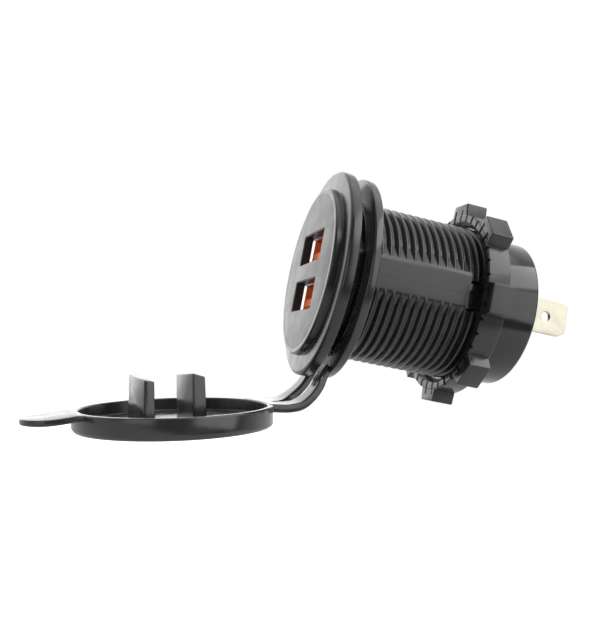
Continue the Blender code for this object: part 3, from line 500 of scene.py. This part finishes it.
# %% [markdown]
# ## Orange port insulators
# The tongue and its base are moulded in a bright orange nylon, slightly see-through at thin edges.
# A little subsurface light makes the thin cheeks glow the way they do in the photograph.

# %% Orange nylon
def nylon(name, deep, bright):
    material, tree, shader = new_material(name, deep, 0.38)
    drift = noise(tree, coordinates(tree), 700.0)
    tree.links.new(two_tones(tree, drift, deep, bright), shader.inputs["Base Color"])
    tree.links.new(ramp(tree, drift, 0.3, 0.7, 0.3, 0.44), shader.inputs["Roughness"])
    shader.inputs["Subsurface Weight"].default_value = 0.15
    shader.inputs["Subsurface Scale"].default_value = 0.4 * MM
    shader.inputs["Subsurface Radius"].default_value = (1.0, 0.35, 0.1)
    bump(tree, shader, noise(tree, coordinates(tree), 4000.0), 0.006 * MM, 0.3)
    return material


ORANGE = nylon("insulator_orange", (0.80, 0.12, 0.02), (0.92, 0.19, 0.045))

# %% [markdown]
# ## Port shells
# Each shell is folded from thin sheet: a rectangular tube with rounded corners, whose front edge is
# chamfered inside so that a plug finds its way in. A rounded bar is hollowed by a second one with a
# funnel front. Four windows at the top and bottom are left where the springs are stamped free.

# %% Shells
SPRING_X = 3.2 * MM
SPRING_HALF_WIDTH = 1.15 * MM
SPRING_SETBACK = 5.0 * MM
SPRING_LENGTH = 3.6 * MM


def build_shell(port):
    low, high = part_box(f"usb_shell_{port}")
    sheet = 0.3 * MM
    lead = 0.4 * MM
    shell = as_object(f"port_shell_{port}", bar(low, high, 0.55 * MM, along=1))
    inside = funnel(low + Vector((sheet, -lead, sheet)), high + Vector((-sheet, lead, -sheet)),
                    0.25 * MM, 0.5 * MM, 2 * lead)
    front = low.y + SPRING_SETBACK
    windows = [bar((x - SPRING_HALF_WIDTH, front, low.z - PAST),
                   (x + SPRING_HALF_WIDTH, front + SPRING_LENGTH, high.z + PAST))
               for x in (-SPRING_X, SPRING_X)]
    work(shell, "DIFFERENCE", inside, *windows)
    finish_piece(shell, NICKEL, "socket", [f"usb_shell_{port}"])


for port in PORT_HEIGHTS:
    build_shell(port)
    dress(f"usb_insulator_{port}", ORANGE)
    for number in range(1, 5):
        dress(f"usb_contact_{port}_{number}", GOLD)

# %% [markdown]
# ## Rear cap and latches
# The glossy cap closes the barrel, with a soft edge at its back and a fine seam along each side
# where its mould opened. Two latch tongues run forward into the notches, and the blades pass
# through two slots. The seam is a shallow groove.

# %% Rear cap
LATCH_HALF_WIDTH = 2.3 * MM
LATCH_THICKNESS = 1.1 * MM
SLOT_X = 9.4 * MM
SLOT_HALF = Vector((0.5 * MM, 0, 3.25 * MM))
CAP_SEAM_FLOOR = 13.58 * MM
CAP_SEAM_SPAN = (0.24 * MM, 0.34 * MM)


def build_rear_cap():
    cap_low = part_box("rear_cap")[0]
    spigot = BORE_RADIUS - 0.2 * MM
    inner = CAP_RADIUS - 1.5 * MM
    ledge = inner - 0.8 * MM
    ledge_back = CAP_FRONT + 1.2 * MM
    end = CAP_BACK - 2.0 * MM
    spigot_front = CAP_FRONT - 1.3 * MM
    cap = as_object("rear_cover", turned([
        (0.0, end, 0), (inner, end, 0.2 * MM), (inner, ledge_back, 0), (ledge, ledge_back, 0),
        (ledge, spigot_front, 0), (spigot, spigot_front, 0), (spigot, CAP_FRONT, 0),
        (CAP_RADIUS, CAP_FRONT, 0.12 * MM), (CAP_RADIUS, CAP_BACK, 0.6 * MM),
        (0.0, CAP_BACK, 0)]))
    latch_top = ROOT_RADIUS - 0.4 * MM
    for side in (1, -1):
        low, high = sorted((side * (latch_top - LATCH_THICKNESS), side * latch_top))
        latch = bar((low, cap_low.y, -LATCH_HALF_WIDTH),
                    (high, CAP_FRONT + 0.8 * MM, LATCH_HALF_WIDTH), 0.15 * MM)
        slot_x = side * SLOT_X
        slot = bar((slot_x - SLOT_HALF.x, end - PAST, -SLOT_HALF.z),
                   (slot_x + SLOT_HALF.x, CAP_BACK + PAST, SLOT_HALF.z))
        low, high = sorted((side * CAP_SEAM_FLOOR, side * 14 * MM))
        seam = bar((low, CAP_FRONT - PAST, CAP_SEAM_SPAN[0]),
                   (high, CAP_BACK + PAST, CAP_SEAM_SPAN[1]))
        work(cap, "UNION", latch)
        work(cap, "DIFFERENCE", slot, seam)
    finish_piece(cap, GLOSS_BLACK, "socket", ["rear_cap"])


build_rear_cap()

# %% [markdown]
# ## Blade terminals
# A blade is stamped from 0.8 mm sheet: two chamfered corners at the tip, a hole that a receptacle's
# dimple snaps into, and edges that the punch left slightly rounded.

# %% Blades
BLADE_HALF_WIDTH = 3.15 * MM
BLADE_CHAMFER = Vector((0, 1.3 * MM, 0.78 * MM))
SHOULDER_HALF_WIDTH = 3.8 * MM
SHOULDER_LENGTH = 1.5 * MM
HOLE_RADIUS = 0.9 * MM
HOLE_FROM_TIP = 4.3 * MM


def blade_hole(centre):
    drill = bmesh.new()
    bmesh.ops.create_cone(drill, cap_ends=True, segments=48, radius1=HOLE_RADIUS,
                          radius2=HOLE_RADIUS, depth=3 * MM)
    bmesh.ops.rotate(drill, cent=(0, 0, 0), matrix=Matrix.Rotation(math.pi / 2, 3, "Y"),
                     verts=drill.verts)
    bmesh.ops.translate(drill, vec=centre, verts=drill.verts)
    return drill


def build_blade(name, node):
    low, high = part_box(node)
    half = BLADE_HALF_WIDTH
    wide = SHOULDER_HALF_WIDTH
    shoulder = CAP_BACK - 2.3 * MM
    right_side = [(low.y, half), (shoulder - SHOULDER_LENGTH, half),
                  (shoulder - SHOULDER_LENGTH, wide), (shoulder, wide), (shoulder, half),
                  (high.y - BLADE_CHAMFER.y, half), (high.y, half - BLADE_CHAMFER.z)]
    outline = right_side + [(y, -z) for y, z in reversed(right_side)]
    blade = as_object(name, pulled([(low.x, y, z) for y, z in outline], (high.x - low.x, 0, 0)))
    work(blade, "DIFFERENCE", blade_hole(((low.x + high.x) / 2, high.y - HOLE_FROM_TIP, 0)))
    bm = bmesh.new()
    bm.from_mesh(blade.data)
    outside = [e for e in bm.edges if len(e.link_faces) == 2 and e.calc_face_angle() > 0.5
               and abs(e.link_faces[0].normal.x) + abs(e.link_faces[1].normal.x) > 0.9]
    soften(bm, outside, 0.1 * MM, segments=3)
    bm.to_mesh(blade.data)
    bm.free()
    finish_piece(blade, TIN, "socket", [node])


build_blade("blade_positive", "spade_positive")
build_blade("blade_negative", "spade_negative")

# %% [markdown]
# ## Ring nut
# Eight lugs let fingers turn the nut, and V-shaped serrations on its front face bite into the
# panel's back. One lug is a cube with sloped sides and rounded edges, and one serration is a
# three-sided cutter. Both are turned about the axis in a loop.

# %% Nut
NUT_RIM = 17.0 * MM
NUT_LUG_TOP = 19.0 * MM
NUT_BORE = 14.7 * MM
LUG_COUNT = 8
LUG_WIDTH = 5.6 * MM
LUG_LENGTH = 3.5 * MM
LUG_INSET = 0.08 * MM
LUG_FOOT_SPREAD = 1.12
LUG_TOP_TAPER = 0.94
LUG_ROUND = 0.22 * MM
LUG_PHASE = -1.2
SERRATION_COUNT = 40
SERRATION_HALF_WIDTH = 0.45 * MM
SERRATION_DEPTH = 0.55 * MM
SERRATION_LENGTH = 4.2 * MM


def turned_about_axis(bm, degrees):
    bmesh.ops.rotate(bm, cent=(0, 0, 0), matrix=Matrix.Rotation(math.radians(degrees), 3, "Y"),
                     verts=bm.verts)
    return bm


def lug(angle):
    bm = bmesh.new()
    bmesh.ops.create_cube(bm, size=1.0)
    size = Vector((LUG_WIDTH, NUT_BACK - NUT_FRONT - 2 * LUG_INSET, LUG_LENGTH))
    bmesh.ops.scale(bm, vec=size, verts=bm.verts)
    bmesh.ops.translate(bm, vec=(0, (NUT_FRONT + NUT_BACK) / 2, NUT_LUG_TOP - size.z / 2),
                        verts=bm.verts)
    foot = [vert for vert in bm.verts if vert.co.z < NUT_RIM]
    top = [vert for vert in bm.verts if vert.co.z > NUT_RIM]
    bmesh.ops.scale(bm, vec=(LUG_FOOT_SPREAD, 1, 1), verts=foot)
    bmesh.ops.scale(bm, vec=(LUG_TOP_TAPER, 1, 1), verts=top)
    soften(bm, [e for e in bm.edges if any(vert in top for vert in e.verts)], LUG_ROUND)
    return turned_about_axis(bm, 90.0 - angle)


def serration(angle):
    front = NUT_FRONT - 0.1 * MM
    points = [(-SERRATION_HALF_WIDTH, front), (SERRATION_HALF_WIDTH, front),
              (0.0, NUT_FRONT + SERRATION_DEPTH)]
    tooth = pulled([(x, y, NUT_BORE - PAST) for x, y in points], (0, 0, SERRATION_LENGTH))
    return turned_about_axis(tooth, 90.0 - angle)


def gathered(shapes):
    """Several separate shapes in one bmesh, so that one boolean uses them all."""
    whole = bmesh.new()
    for shape in shapes:
        mesh = bpy.data.meshes.new("shape")
        shape.to_mesh(mesh)
        shape.free()
        whole.from_mesh(mesh)
        bpy.data.meshes.remove(mesh)
    return whole


def build_nut():
    lead_in = 1.0 * MM
    nut = as_object("clamp_nut", turned([
        (NUT_BORE + lead_in, NUT_FRONT, 0.1 * MM), (NUT_RIM, NUT_FRONT, 0.3 * MM),
        (NUT_RIM, NUT_BACK, 0.3 * MM), (NUT_BORE, NUT_BACK, 0.15 * MM),
        (NUT_BORE, NUT_FRONT + lead_in, 0.1 * MM)], closed=True))
    step = 360.0 / LUG_COUNT
    lugs = [lug(LUG_PHASE + number * step) for number in range(LUG_COUNT)]
    work(nut, "UNION", gathered(lugs))
    step = 360.0 / SERRATION_COUNT
    teeth = [serration((number + 0.5) * step) for number in range(SERRATION_COUNT)]
    work(nut, "DIFFERENCE", gathered(teeth))
    finish_piece(nut, SATIN_BLACK, "nut", ["ring_nut"])


build_nut()

# %% [markdown]
# ## Rubber
# The cover is soft black rubber from a polished mould. Seen at a shallow angle it mirrors the
# backdrop almost like the plastic does, but its skin is speckled and it carries a thin grey bloom.
# A low roughness that drifts in streaks gives the mirror, sheen the bloom, and noise the speckles.

# %% Rubber
def rubber(name, dark, light):
    material, tree, shader = new_material(name, dark, 0.3, specular=0.55)
    cloud = noise(tree, coordinates(tree), 180.0, 5.0)
    tree.links.new(two_tones(tree, cloud, dark, light), shader.inputs["Base Color"])
    streaks = noise(tree, coordinates(tree, (1.0, 1.0, 0.3)), 420.0, 4.0)
    tree.links.new(ramp(tree, streaks, 0.35, 0.65, 0.12, 0.24), shader.inputs["Roughness"])
    shader.inputs["Sheen Weight"].default_value = 0.12
    shader.inputs["Sheen Roughness"].default_value = 0.3
    skin = noise(tree, coordinates(tree), 2200.0, 2.0)
    bump(tree, shader, skin, 0.02 * MM, 0.35)
    return material


RUBBER = rubber("cover_rubber", (0.016, 0.016, 0.017), (0.026, 0.026, 0.027))

# %% [markdown]
# ## Rubber cover
# Ring, strap and cap are one moulding, so here they are one piece. The cap is modelled closed over
# the face, where its sizes are plain to see, and then swung open about the hinge that the frame
# gives. The strap is a flat grid with a slot, thickened, with its long edges rounded. It follows a
# smooth curve from the ring to the cap's rim, through places that the strap passes in the
# photograph.

# %% Places of the hinge
hinge = next(joint for joint in frame["joints"] if joint["name"] == "cover_hinge")
HINGE_POINT = Vector(hinge["pos_m"])
SWING_OPEN = (Matrix.Translation(HINGE_POINT)
              @ Matrix.Rotation(-math.radians(hinge["range_deg"][0]), 4, Vector(hinge["axis"]))
              @ Matrix.Translation(-HINGE_POINT))

DISH_RADIUS = 16.75 * MM
DISH_INNER = 15.7 * MM
DISH_DROP = 0.2 * MM
RIM_SEAT = FLANGE_FRONT - 0.15 * MM
FLOOR_INSIDE = RIM_SEAT - 2.3 * MM
FLOOR_OUTSIDE = FLOOR_INSIDE - 1.25 * MM
RING_LOW, RING_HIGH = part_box("cover_ring")


# %% Cap with plugs, gate mark and tab
PLUG_LENGTH = 7.3 * MM


def plug(base_half, tip_half, base_span, tip_span, lifts):
    """A block from the floor to the tip, given its half widths and height spans at both ends.

    The lifts are those of the tip's near low, near high and far corners.
    """
    tip = FLOOR_INSIDE + PLUG_LENGTH
    bm = bar((-base_half, FLOOR_INSIDE - 0.4 * MM, base_span[0]), (base_half, tip, base_span[1]))
    middle = sum(base_span) / 2
    for vert in bm.verts:
        if vert.co.y > FLOOR_INSIDE:
            at_top = vert.co.z > middle
            near = vert.co.x > 0
            vert.co.x = math.copysign(tip_half, vert.co.x)
            vert.co.z = tip_span[1] if at_top else tip_span[0]
            vert.co.y += lifts[1 if at_top else 0] if near else lifts[2]
    edges = [e for e in bm.edges if max(vert.co.y for vert in e.verts) > FLOOR_INSIDE]
    soften(bm, edges, 0.2 * MM, segments=3)
    return bm


def both_plugs():
    """The two plugs differ: each was fitted to its own outline in the photograph."""
    upper = plug(5.5 * MM, 5.15 * MM, (4.47 * MM, 6.5 * MM), (4.5 * MM, 6.15 * MM),
                 lifts=(-0.3 * MM, 0.0, 0.35 * MM))
    lower = plug(4.8 * MM, 4.8 * MM, (-4.4 * MM, -2.0 * MM), (-4.13 * MM, -2.0 * MM),
                 lifts=(0.1 * MM, 0.8 * MM, 0.1 * MM))
    return upper, lower


TAB_HALF_WIDTH = 5.5 * MM
TAB_NECK = 16.7 * MM
TAB_REACH = 7.85 * MM
TAB_THICKNESS = 1.0 * MM
TAB_DROOP = 0.47 * MM


def pull_tab():
    """A tongue with a round end, drawn flat and thickened; its edges are soft, its end droops."""
    steps = 32
    angles = [math.pi * step / steps for step in range(steps + 1)]
    root = DISH_INNER - 0.3 * MM
    points = [(-TAB_HALF_WIDTH, root), (TAB_HALF_WIDTH, root)]
    points += [(TAB_HALF_WIDTH * math.cos(angle), TAB_NECK + TAB_REACH * math.sin(angle) ** (2 / 3))
               for angle in angles]
    bm = pulled([(x, RIM_SEAT - TAB_THICKNESS, z) for x, z in points], (0, TAB_THICKNESS, 0))
    rims = [e for e in bm.edges if abs(e.verts[0].co.y - e.verts[1].co.y) < MERGE]
    soften(bm, rims, 0.22 * MM, segments=3)
    bends = 10
    for step in range(bends):
        slice_at(bm, (0, 0, TAB_NECK + TAB_REACH * step / bends), (0, 0, 1), MERGE)
    for vert in bm.verts:
        share = min(1.0, max(0.0, (vert.co.z - TAB_NECK) / (0.75 * TAB_REACH)))
        vert.co.y -= TAB_DROOP * math.sin(share * math.pi / 2)
    bmesh.ops.triangulate(bm, faces=[face for face in bm.faces if len(face.verts) > 4])
    return bm


def build_closed_cap():
    """The dish, whose floor has a moat round the gate mark, with its tab and plugs."""
    mark = 1.45 * MM
    mark_top = FLOOR_INSIDE + 0.12 * MM
    moat_floor = FLOOR_INSIDE - 0.3 * MM
    dish = turned([
        (0.0, FLOOR_OUTSIDE, 0), (DISH_RADIUS, FLOOR_OUTSIDE, 0.9 * MM),
        (DISH_RADIUS, RIM_SEAT, 0.3 * MM), (DISH_INNER, RIM_SEAT, 0.3 * MM),
        (DISH_INNER, FLOOR_INSIDE, 0.3 * MM), (mark + 0.35 * MM, FLOOR_INSIDE, 0.05 * MM),
        (mark + 0.12 * MM, moat_floor, 0), (mark, mark_top, 0.06 * MM), (0.0, mark_top, 0)])
    bmesh.ops.translate(dish, vec=(0, 0, -DISH_DROP), verts=dish.verts)
    return work(as_object("rubber_cover", dish), "UNION", pull_tab(), *both_plugs())


# %% Strap
STRAP_ROOT_HALF = 5.8 * MM
STRAP_HALF = 6.5 * MM
STRAP_SLOT_HALF = 2.3 * MM
STRAP_THICKNESS = 1.4 * MM
STRAP_STEPS = 48
STRAP_COLUMNS = 12
SLOT_COLUMNS = 4
SLOT_START, SLOT_END = 0.12, 0.90
RIM_INSET = 0.6 * MM
RIM_PLACE = Vector((0, RIM_SEAT - STRAP_THICKNESS / 2, -DISH_DROP - DISH_RADIUS + RIM_INSET))
STRAP_END = SWING_OPEN @ RIM_PLACE
STRAP_WAY = [(y * MM, z * MM) for y, z in (
    (2.45, -16.6), (1.5, -18.6), (0.75, -20.5), (-0.5, -22.4), (-2.3, -24.1), (-4.6, -24.95))]


def eased(value):
    value = min(1.0, max(0.0, value))
    return value * value * (3 - 2 * value)


def on_the_way(t):
    """The strap's centre line: a Catmull-Rom curve through its places, which ends at the cap."""
    count = len(STRAP_WAY)
    places = [Vector((STRAP_END.x * (k / count) ** 2, y, z)) for k, (y, z) in enumerate(STRAP_WAY)]
    places.append(STRAP_END)
    beyond = STRAP_END + SWING_OPEN.to_3x3() @ Vector((0, 0, 2 * MM))
    places = [2 * places[0] - places[1]] + places + [beyond]
    k = min(int(t * count), count - 1)
    u = t * count - k
    before, first, second, after = places[k:k + 4]
    return 0.5 * (2 * first + (second - before) * u
                  + (2 * before - 5 * first + 4 * second - after) * u ** 2
                  + (3 * first - before - 3 * second + after) * u ** 3)


def strap_place(t):
    """Centre, across, normal and along at a share of the way from the ring (0) to the cap (1)."""
    nudge = 0.002
    along = (on_the_way(min(1.0, t + nudge)) - on_the_way(max(0.0, t - nudge))).normalized()
    across = Vector((1, 0, 0)).lerp(SWING_OPEN.to_3x3() @ Vector((1, 0, 0)), eased(t))
    across = (across - along * across.dot(along)).normalized()
    return on_the_way(t), across, along.cross(across), along


def flat_strap():
    """A unit grid with its slot open and a unit of thickness; x is across and y along."""
    bm = bmesh.new()
    bmesh.ops.create_grid(bm, x_segments=STRAP_COLUMNS, y_segments=STRAP_STEPS, size=0.5)
    in_slot = [face for face in bm.faces
               if abs(face.calc_center_median().x) < SLOT_COLUMNS / 2 / STRAP_COLUMNS
               and SLOT_START < face.calc_center_median().y + 0.5 < SLOT_END]
    bmesh.ops.delete(bm, geom=in_slot, context="FACES")
    lifted = bmesh.ops.extrude_face_region(bm, geom=bm.faces[:], use_keep_orig=True)
    bmesh.ops.translate(bm, vec=(0, 0, 1.0), verts=verts_of(lifted))
    bmesh.ops.recalc_face_normals(bm, faces=bm.faces)
    return bm


def strap_offset(column, t):
    """How far a column of the grid lies from the centre line. The slot narrows towards the cap."""
    slot_half = STRAP_SLOT_HALF * (1 - 0.9 * eased((t - 0.5) / (SLOT_END - 0.5)))
    half = STRAP_ROOT_HALF + (STRAP_HALF - STRAP_ROOT_HALF) * eased(t / 0.3)
    inner = SLOT_COLUMNS / 2
    if abs(column) <= inner + 0.01:
        return column / inner * slot_half
    share = (abs(column) - inner) / (STRAP_COLUMNS / 2 - inner)
    return math.copysign(1, column) * (slot_half + share * (half - slot_half))


def strap():
    bm = flat_strap()
    long_edges = [e for e in bm.edges if runs_along(e, 1) and e.calc_face_angle() > 1.2]
    rim = DISH_RADIUS - RIM_INSET
    for vert in bm.verts:
        t = vert.co.y + 0.5
        offset = strap_offset(vert.co.x * STRAP_COLUMNS, t)
        place, across, normal, along = strap_place(t)
        lead = rim - math.sqrt(rim ** 2 - offset ** 2)
        vert.co = (place + across * offset + normal * (vert.co.z - 0.5) * STRAP_THICKNESS
                   + along * lead * eased((t - 0.8) / 0.2))
    if bm.calc_volume(signed=True) < 0:
        bmesh.ops.reverse_faces(bm, faces=bm.faces)
    soften(bm, long_edges, 0.25 * MM, segments=3)
    return bm


# %% Whole cover
def build_cover():
    cover = build_closed_cap()
    cover.data.transform(SWING_OPEN)
    ring = turned([(NUT_BORE, RING_LOW.y, 0.2 * MM), (RING_HIGH.x, RING_LOW.y, 0.4 * MM),
                   (RING_HIGH.x, RING_HIGH.y, 0.4 * MM), (NUT_BORE, RING_HIGH.y, 0.2 * MM)],
                  closed=True)
    work(cover, "UNION", strap(), ring)
    finish_piece(cover, RUBBER, None, ["cover_ring", "cover_strap", "cover_cap"],
                 sharp=40.0)
    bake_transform(cover)


build_cover()

# %% [markdown]
# ## Parts inside the barrel
# Nothing of the inside shows through the face, but a part that is opened should look right. The
# boards carry green solder mask over copper tracks, the inductor has a wire winding, and the cans,
# chips and pins have their own finishes.

# %% Boards
def solder_mask(name):
    """Green mask whose colour steps where copper tracks run under it."""
    material, tree, shader = new_material(name, (0.02, 0.15, 0.07), 0.3)
    grid = tree.nodes.new("ShaderNodeTexBrick")
    grid.inputs["Scale"].default_value = 300.0
    grid.inputs["Mortar Size"].default_value = 0.05
    grid.inputs["Color1"].default_value = (0.012, 0.12, 0.055, 1)
    grid.inputs["Color2"].default_value = (0.018, 0.15, 0.065, 1)
    grid.inputs["Mortar"].default_value = (0.05, 0.27, 0.12, 1)
    turned_plane = tree.nodes.new("ShaderNodeMapping")
    turned_plane.inputs["Rotation"].default_value = (math.pi / 2, 0, 0)
    tree.links.new(coordinates(tree), turned_plane.inputs["Vector"])
    tree.links.new(turned_plane.outputs["Vector"], grid.inputs["Vector"])
    tree.links.new(grid.outputs["Color"], shader.inputs["Base Color"])
    bump(tree, shader, grid.outputs["Fac"], 0.02 * MM, 0.5)
    return material


def winding(name):
    """Enamelled copper wire: bands across the axis, one for each turn, with painted shade darkening
    the groove between turns.
    """
    material, tree, shader = new_material(name, (0.72, 0.3, 0.12), 0.3, metallic=1.0)
    bands = tree.nodes.new("ShaderNodeTexWave")
    bands.bands_direction = "Y"
    bands.inputs["Scale"].default_value = 620.0
    tree.links.new(coordinates(tree), bands.inputs["Vector"])
    # Painted shade: the copper's dark tone is placed where the bump is lowest, in the groove between
    # turns.
    wire = two_tones(tree, bands.outputs["Fac"], (0.35, 0.12, 0.04), (0.80, 0.36, 0.15))
    tree.links.new(wire, shader.inputs["Base Color"])
    bump(tree, shader, bands.outputs["Fac"], 0.1 * MM, 0.8)
    return material


def speckled(name, first, second, roughness, metallic, per_metre):
    material, tree, shader = new_material(name, first, roughness, metallic=metallic)
    specks = noise(tree, coordinates(tree), per_metre, 4.0)
    tree.links.new(two_tones(tree, specks, first, second), shader.inputs["Base Color"])
    drift = ramp(tree, specks, 0.3, 0.7, roughness * 0.8, roughness * 1.2)
    tree.links.new(drift, shader.inputs["Roughness"])
    bump(tree, shader, specks, 0.01 * MM, 0.3)
    return material


BOARD = solder_mask("board_green")
COPPER = winding("winding_copper")
CAN = speckled("capacitor_can", (0.68, 0.69, 0.71), (0.76, 0.77, 0.78), 0.34, 1.0, 900.0)
EPOXY = speckled("chip_epoxy", (0.018, 0.018, 0.018), (0.03, 0.03, 0.03), 0.5, 0.0, 3000.0)
FERRITE = speckled("ferrite", (0.05, 0.05, 0.054), (0.08, 0.08, 0.085), 0.6, 0.0, 2200.0)

# %% Dress the inner nodes
INSIDE = {
    "port_board": BOARD, "power_board": BOARD, "inductor_core": FERRITE, "inductor_winding": COPPER,
    "capacitor_left": CAN, "capacitor_right": CAN, "controller_chip": EPOXY,
}
INSIDE.update({f"board_pin_{number}": GOLD for number in range(1, 5)})
for name, material in INSIDE.items():
    dress(name, material)
print("inner nodes dressed:", len(INSIDE))

# %% [markdown]
# ## Camera
# The photograph was taken level with the table, from the barrel's right side and a little in front.
# Its camera was worked out from the round edges, which are circles in known planes. The place and
# the directions below are in the part's own frame.

# %% Camera
FOCAL_LENGTH_PX = 787.2
IMAGE_WIDTH_PX = 600
CAMERA_PLACE = Vector((138.54, -36.68, -20.81)) * MM
CAMERA_RIGHT = Vector((0.24656, 0.95129, 0.18506))
CAMERA_UP = Vector((0.04071, -0.20096, 0.97875))


def add_camera():
    data = bpy.data.cameras.new("camera")
    data.sensor_fit = "HORIZONTAL"
    data.sensor_width = 36.0
    data.lens = data.sensor_width * FOCAL_LENGTH_PX / IMAGE_WIDTH_PX
    data.clip_start = 0.005
    camera = bpy.data.objects.new("camera", data)
    bpy.context.scene.collection.objects.link(camera)
    back = CAMERA_RIGHT.cross(CAMERA_UP)
    turn = Matrix((CAMERA_RIGHT, CAMERA_UP, back)).transposed().to_4x4()
    camera.matrix_world = Matrix.Translation(CAMERA_PLACE) @ turn
    bpy.context.scene.camera = camera
    print("lens", round(data.lens, 2), "mm")


add_camera()

# %% [markdown]
# ## Light and floor
# The reflections in the glossy rear cap tell where the lamps stood. A soft box hung above the
# camera's side, between 33 and 62 degrees up. Below it, close by, stood a paler wall. A dim panel
# lit the face from the front, and the white backdrop was behind the socket. Each is an area lamp
# here. The world is white for what the camera sees, bright for reflections from behind and from
# straight above, and dim elsewhere.

# %% Lamps
LAMP_AIM = Vector((0, 0.01, -0.01))


def soft_box(name, towards, distance, width, height, radiance):
    """A rectangular lamp that looks at the part from a direction given as azimuth and elevation."""
    azimuth, elevation = (math.radians(value) for value in towards)
    direction = Vector((math.cos(elevation) * math.cos(azimuth),
                        math.cos(elevation) * math.sin(azimuth), math.sin(elevation)))
    lamp = bpy.data.lights.new(name, "AREA")
    lamp.shape = "RECTANGLE"
    lamp.size = width
    lamp.size_y = height
    lamp.energy = radiance * math.pi * width * height
    holder = bpy.data.objects.new(name, lamp)
    holder.location = direction * distance + LAMP_AIM
    holder.rotation_euler = direction.to_track_quat("Z", "Y").to_euler()
    holder.visible_camera = False
    bpy.context.scene.collection.objects.link(holder)


soft_box("high_box", (45.0, 48.0), 0.55, 0.62, 0.28, 4.0)
soft_box("pale_wall", (36.0, 12.0), 0.27, 0.27, 0.19, 2.0)
soft_box("front_wall", (-46.0, 5.0), 0.60, 0.36, 0.36, 1.5)
soft_box("backdrop_box", (-170.0, 12.0), 0.60, 0.90, 0.60, 1.0)


# %% World and floor
def add_world():
    world = bpy.data.worlds.new("studio")
    bpy.context.scene.world = world
    world.use_nodes = True
    tree = world.node_tree
    tree.nodes.clear()
    output = tree.nodes.new("ShaderNodeOutputWorld")
    background = tree.nodes.new("ShaderNodeBackground")
    background.inputs["Color"].default_value = (1.0, 1.0, 1.0, 1.0)
    direction = tree.nodes.new("ShaderNodeTexCoord")
    parts = tree.nodes.new("ShaderNodeSeparateXYZ")
    tree.links.new(direction.outputs["Generated"], parts.inputs["Vector"])
    behind = ramp(tree, parts.outputs["X"], 0.35, -0.25, 0.12, 1.0)
    overhead = ramp(tree, parts.outputs["Z"], 0.84, 0.9, 0.0, 1.8)
    brighter = tree.nodes.new("ShaderNodeMath")
    brighter.operation = "MAXIMUM"
    tree.links.new(behind, brighter.inputs[0])
    tree.links.new(overhead, brighter.inputs[1])
    rays = tree.nodes.new("ShaderNodeLightPath")
    strength = tree.nodes.new("ShaderNodeMix")
    strength.data_type = "FLOAT"
    tree.links.new(rays.outputs["Is Camera Ray"], strength.inputs["Factor"])
    tree.links.new(brighter.outputs["Value"], strength.inputs["A"])
    strength.inputs["B"].default_value = 1.0
    tree.links.new(strength.outputs["Result"], background.inputs["Strength"])
    tree.links.new(background.outputs["Background"], output.inputs["Surface"])


def add_floor():
    """A pale sheet well below the part; the camera sees it white with the part's soft shadow."""
    bm = bmesh.new()
    bmesh.ops.create_grid(bm, x_segments=1, y_segments=1, size=0.6)
    bmesh.ops.translate(bm, vec=(-0.45, 0.0, -0.075), verts=bm.verts)
    floor = as_object("floor", bm)
    material, tree, shader = new_material("floor_paper", (0.62, 0.62, 0.61), 0.9, specular=0.0)
    glow = tree.nodes.new("ShaderNodeEmission")
    rays = tree.nodes.new("ShaderNodeLightPath")
    seen = ramp(tree, rays.outputs["Is Camera Ray"], 0.0, 1.0, 0.0, 0.85)
    tree.links.new(seen, glow.inputs["Strength"])
    total = tree.nodes.new("ShaderNodeAddShader")
    tree.links.new(shader.outputs["BSDF"], total.inputs[0])
    tree.links.new(glow.outputs["Emission"], total.inputs[1])
    tree.links.new(total.outputs["Shader"], tree.nodes["Material Output"].inputs["Surface"])
    floor.data.materials.append(material)


add_world()
add_floor()
bpy.context.scene.view_settings.view_transform = "Standard"
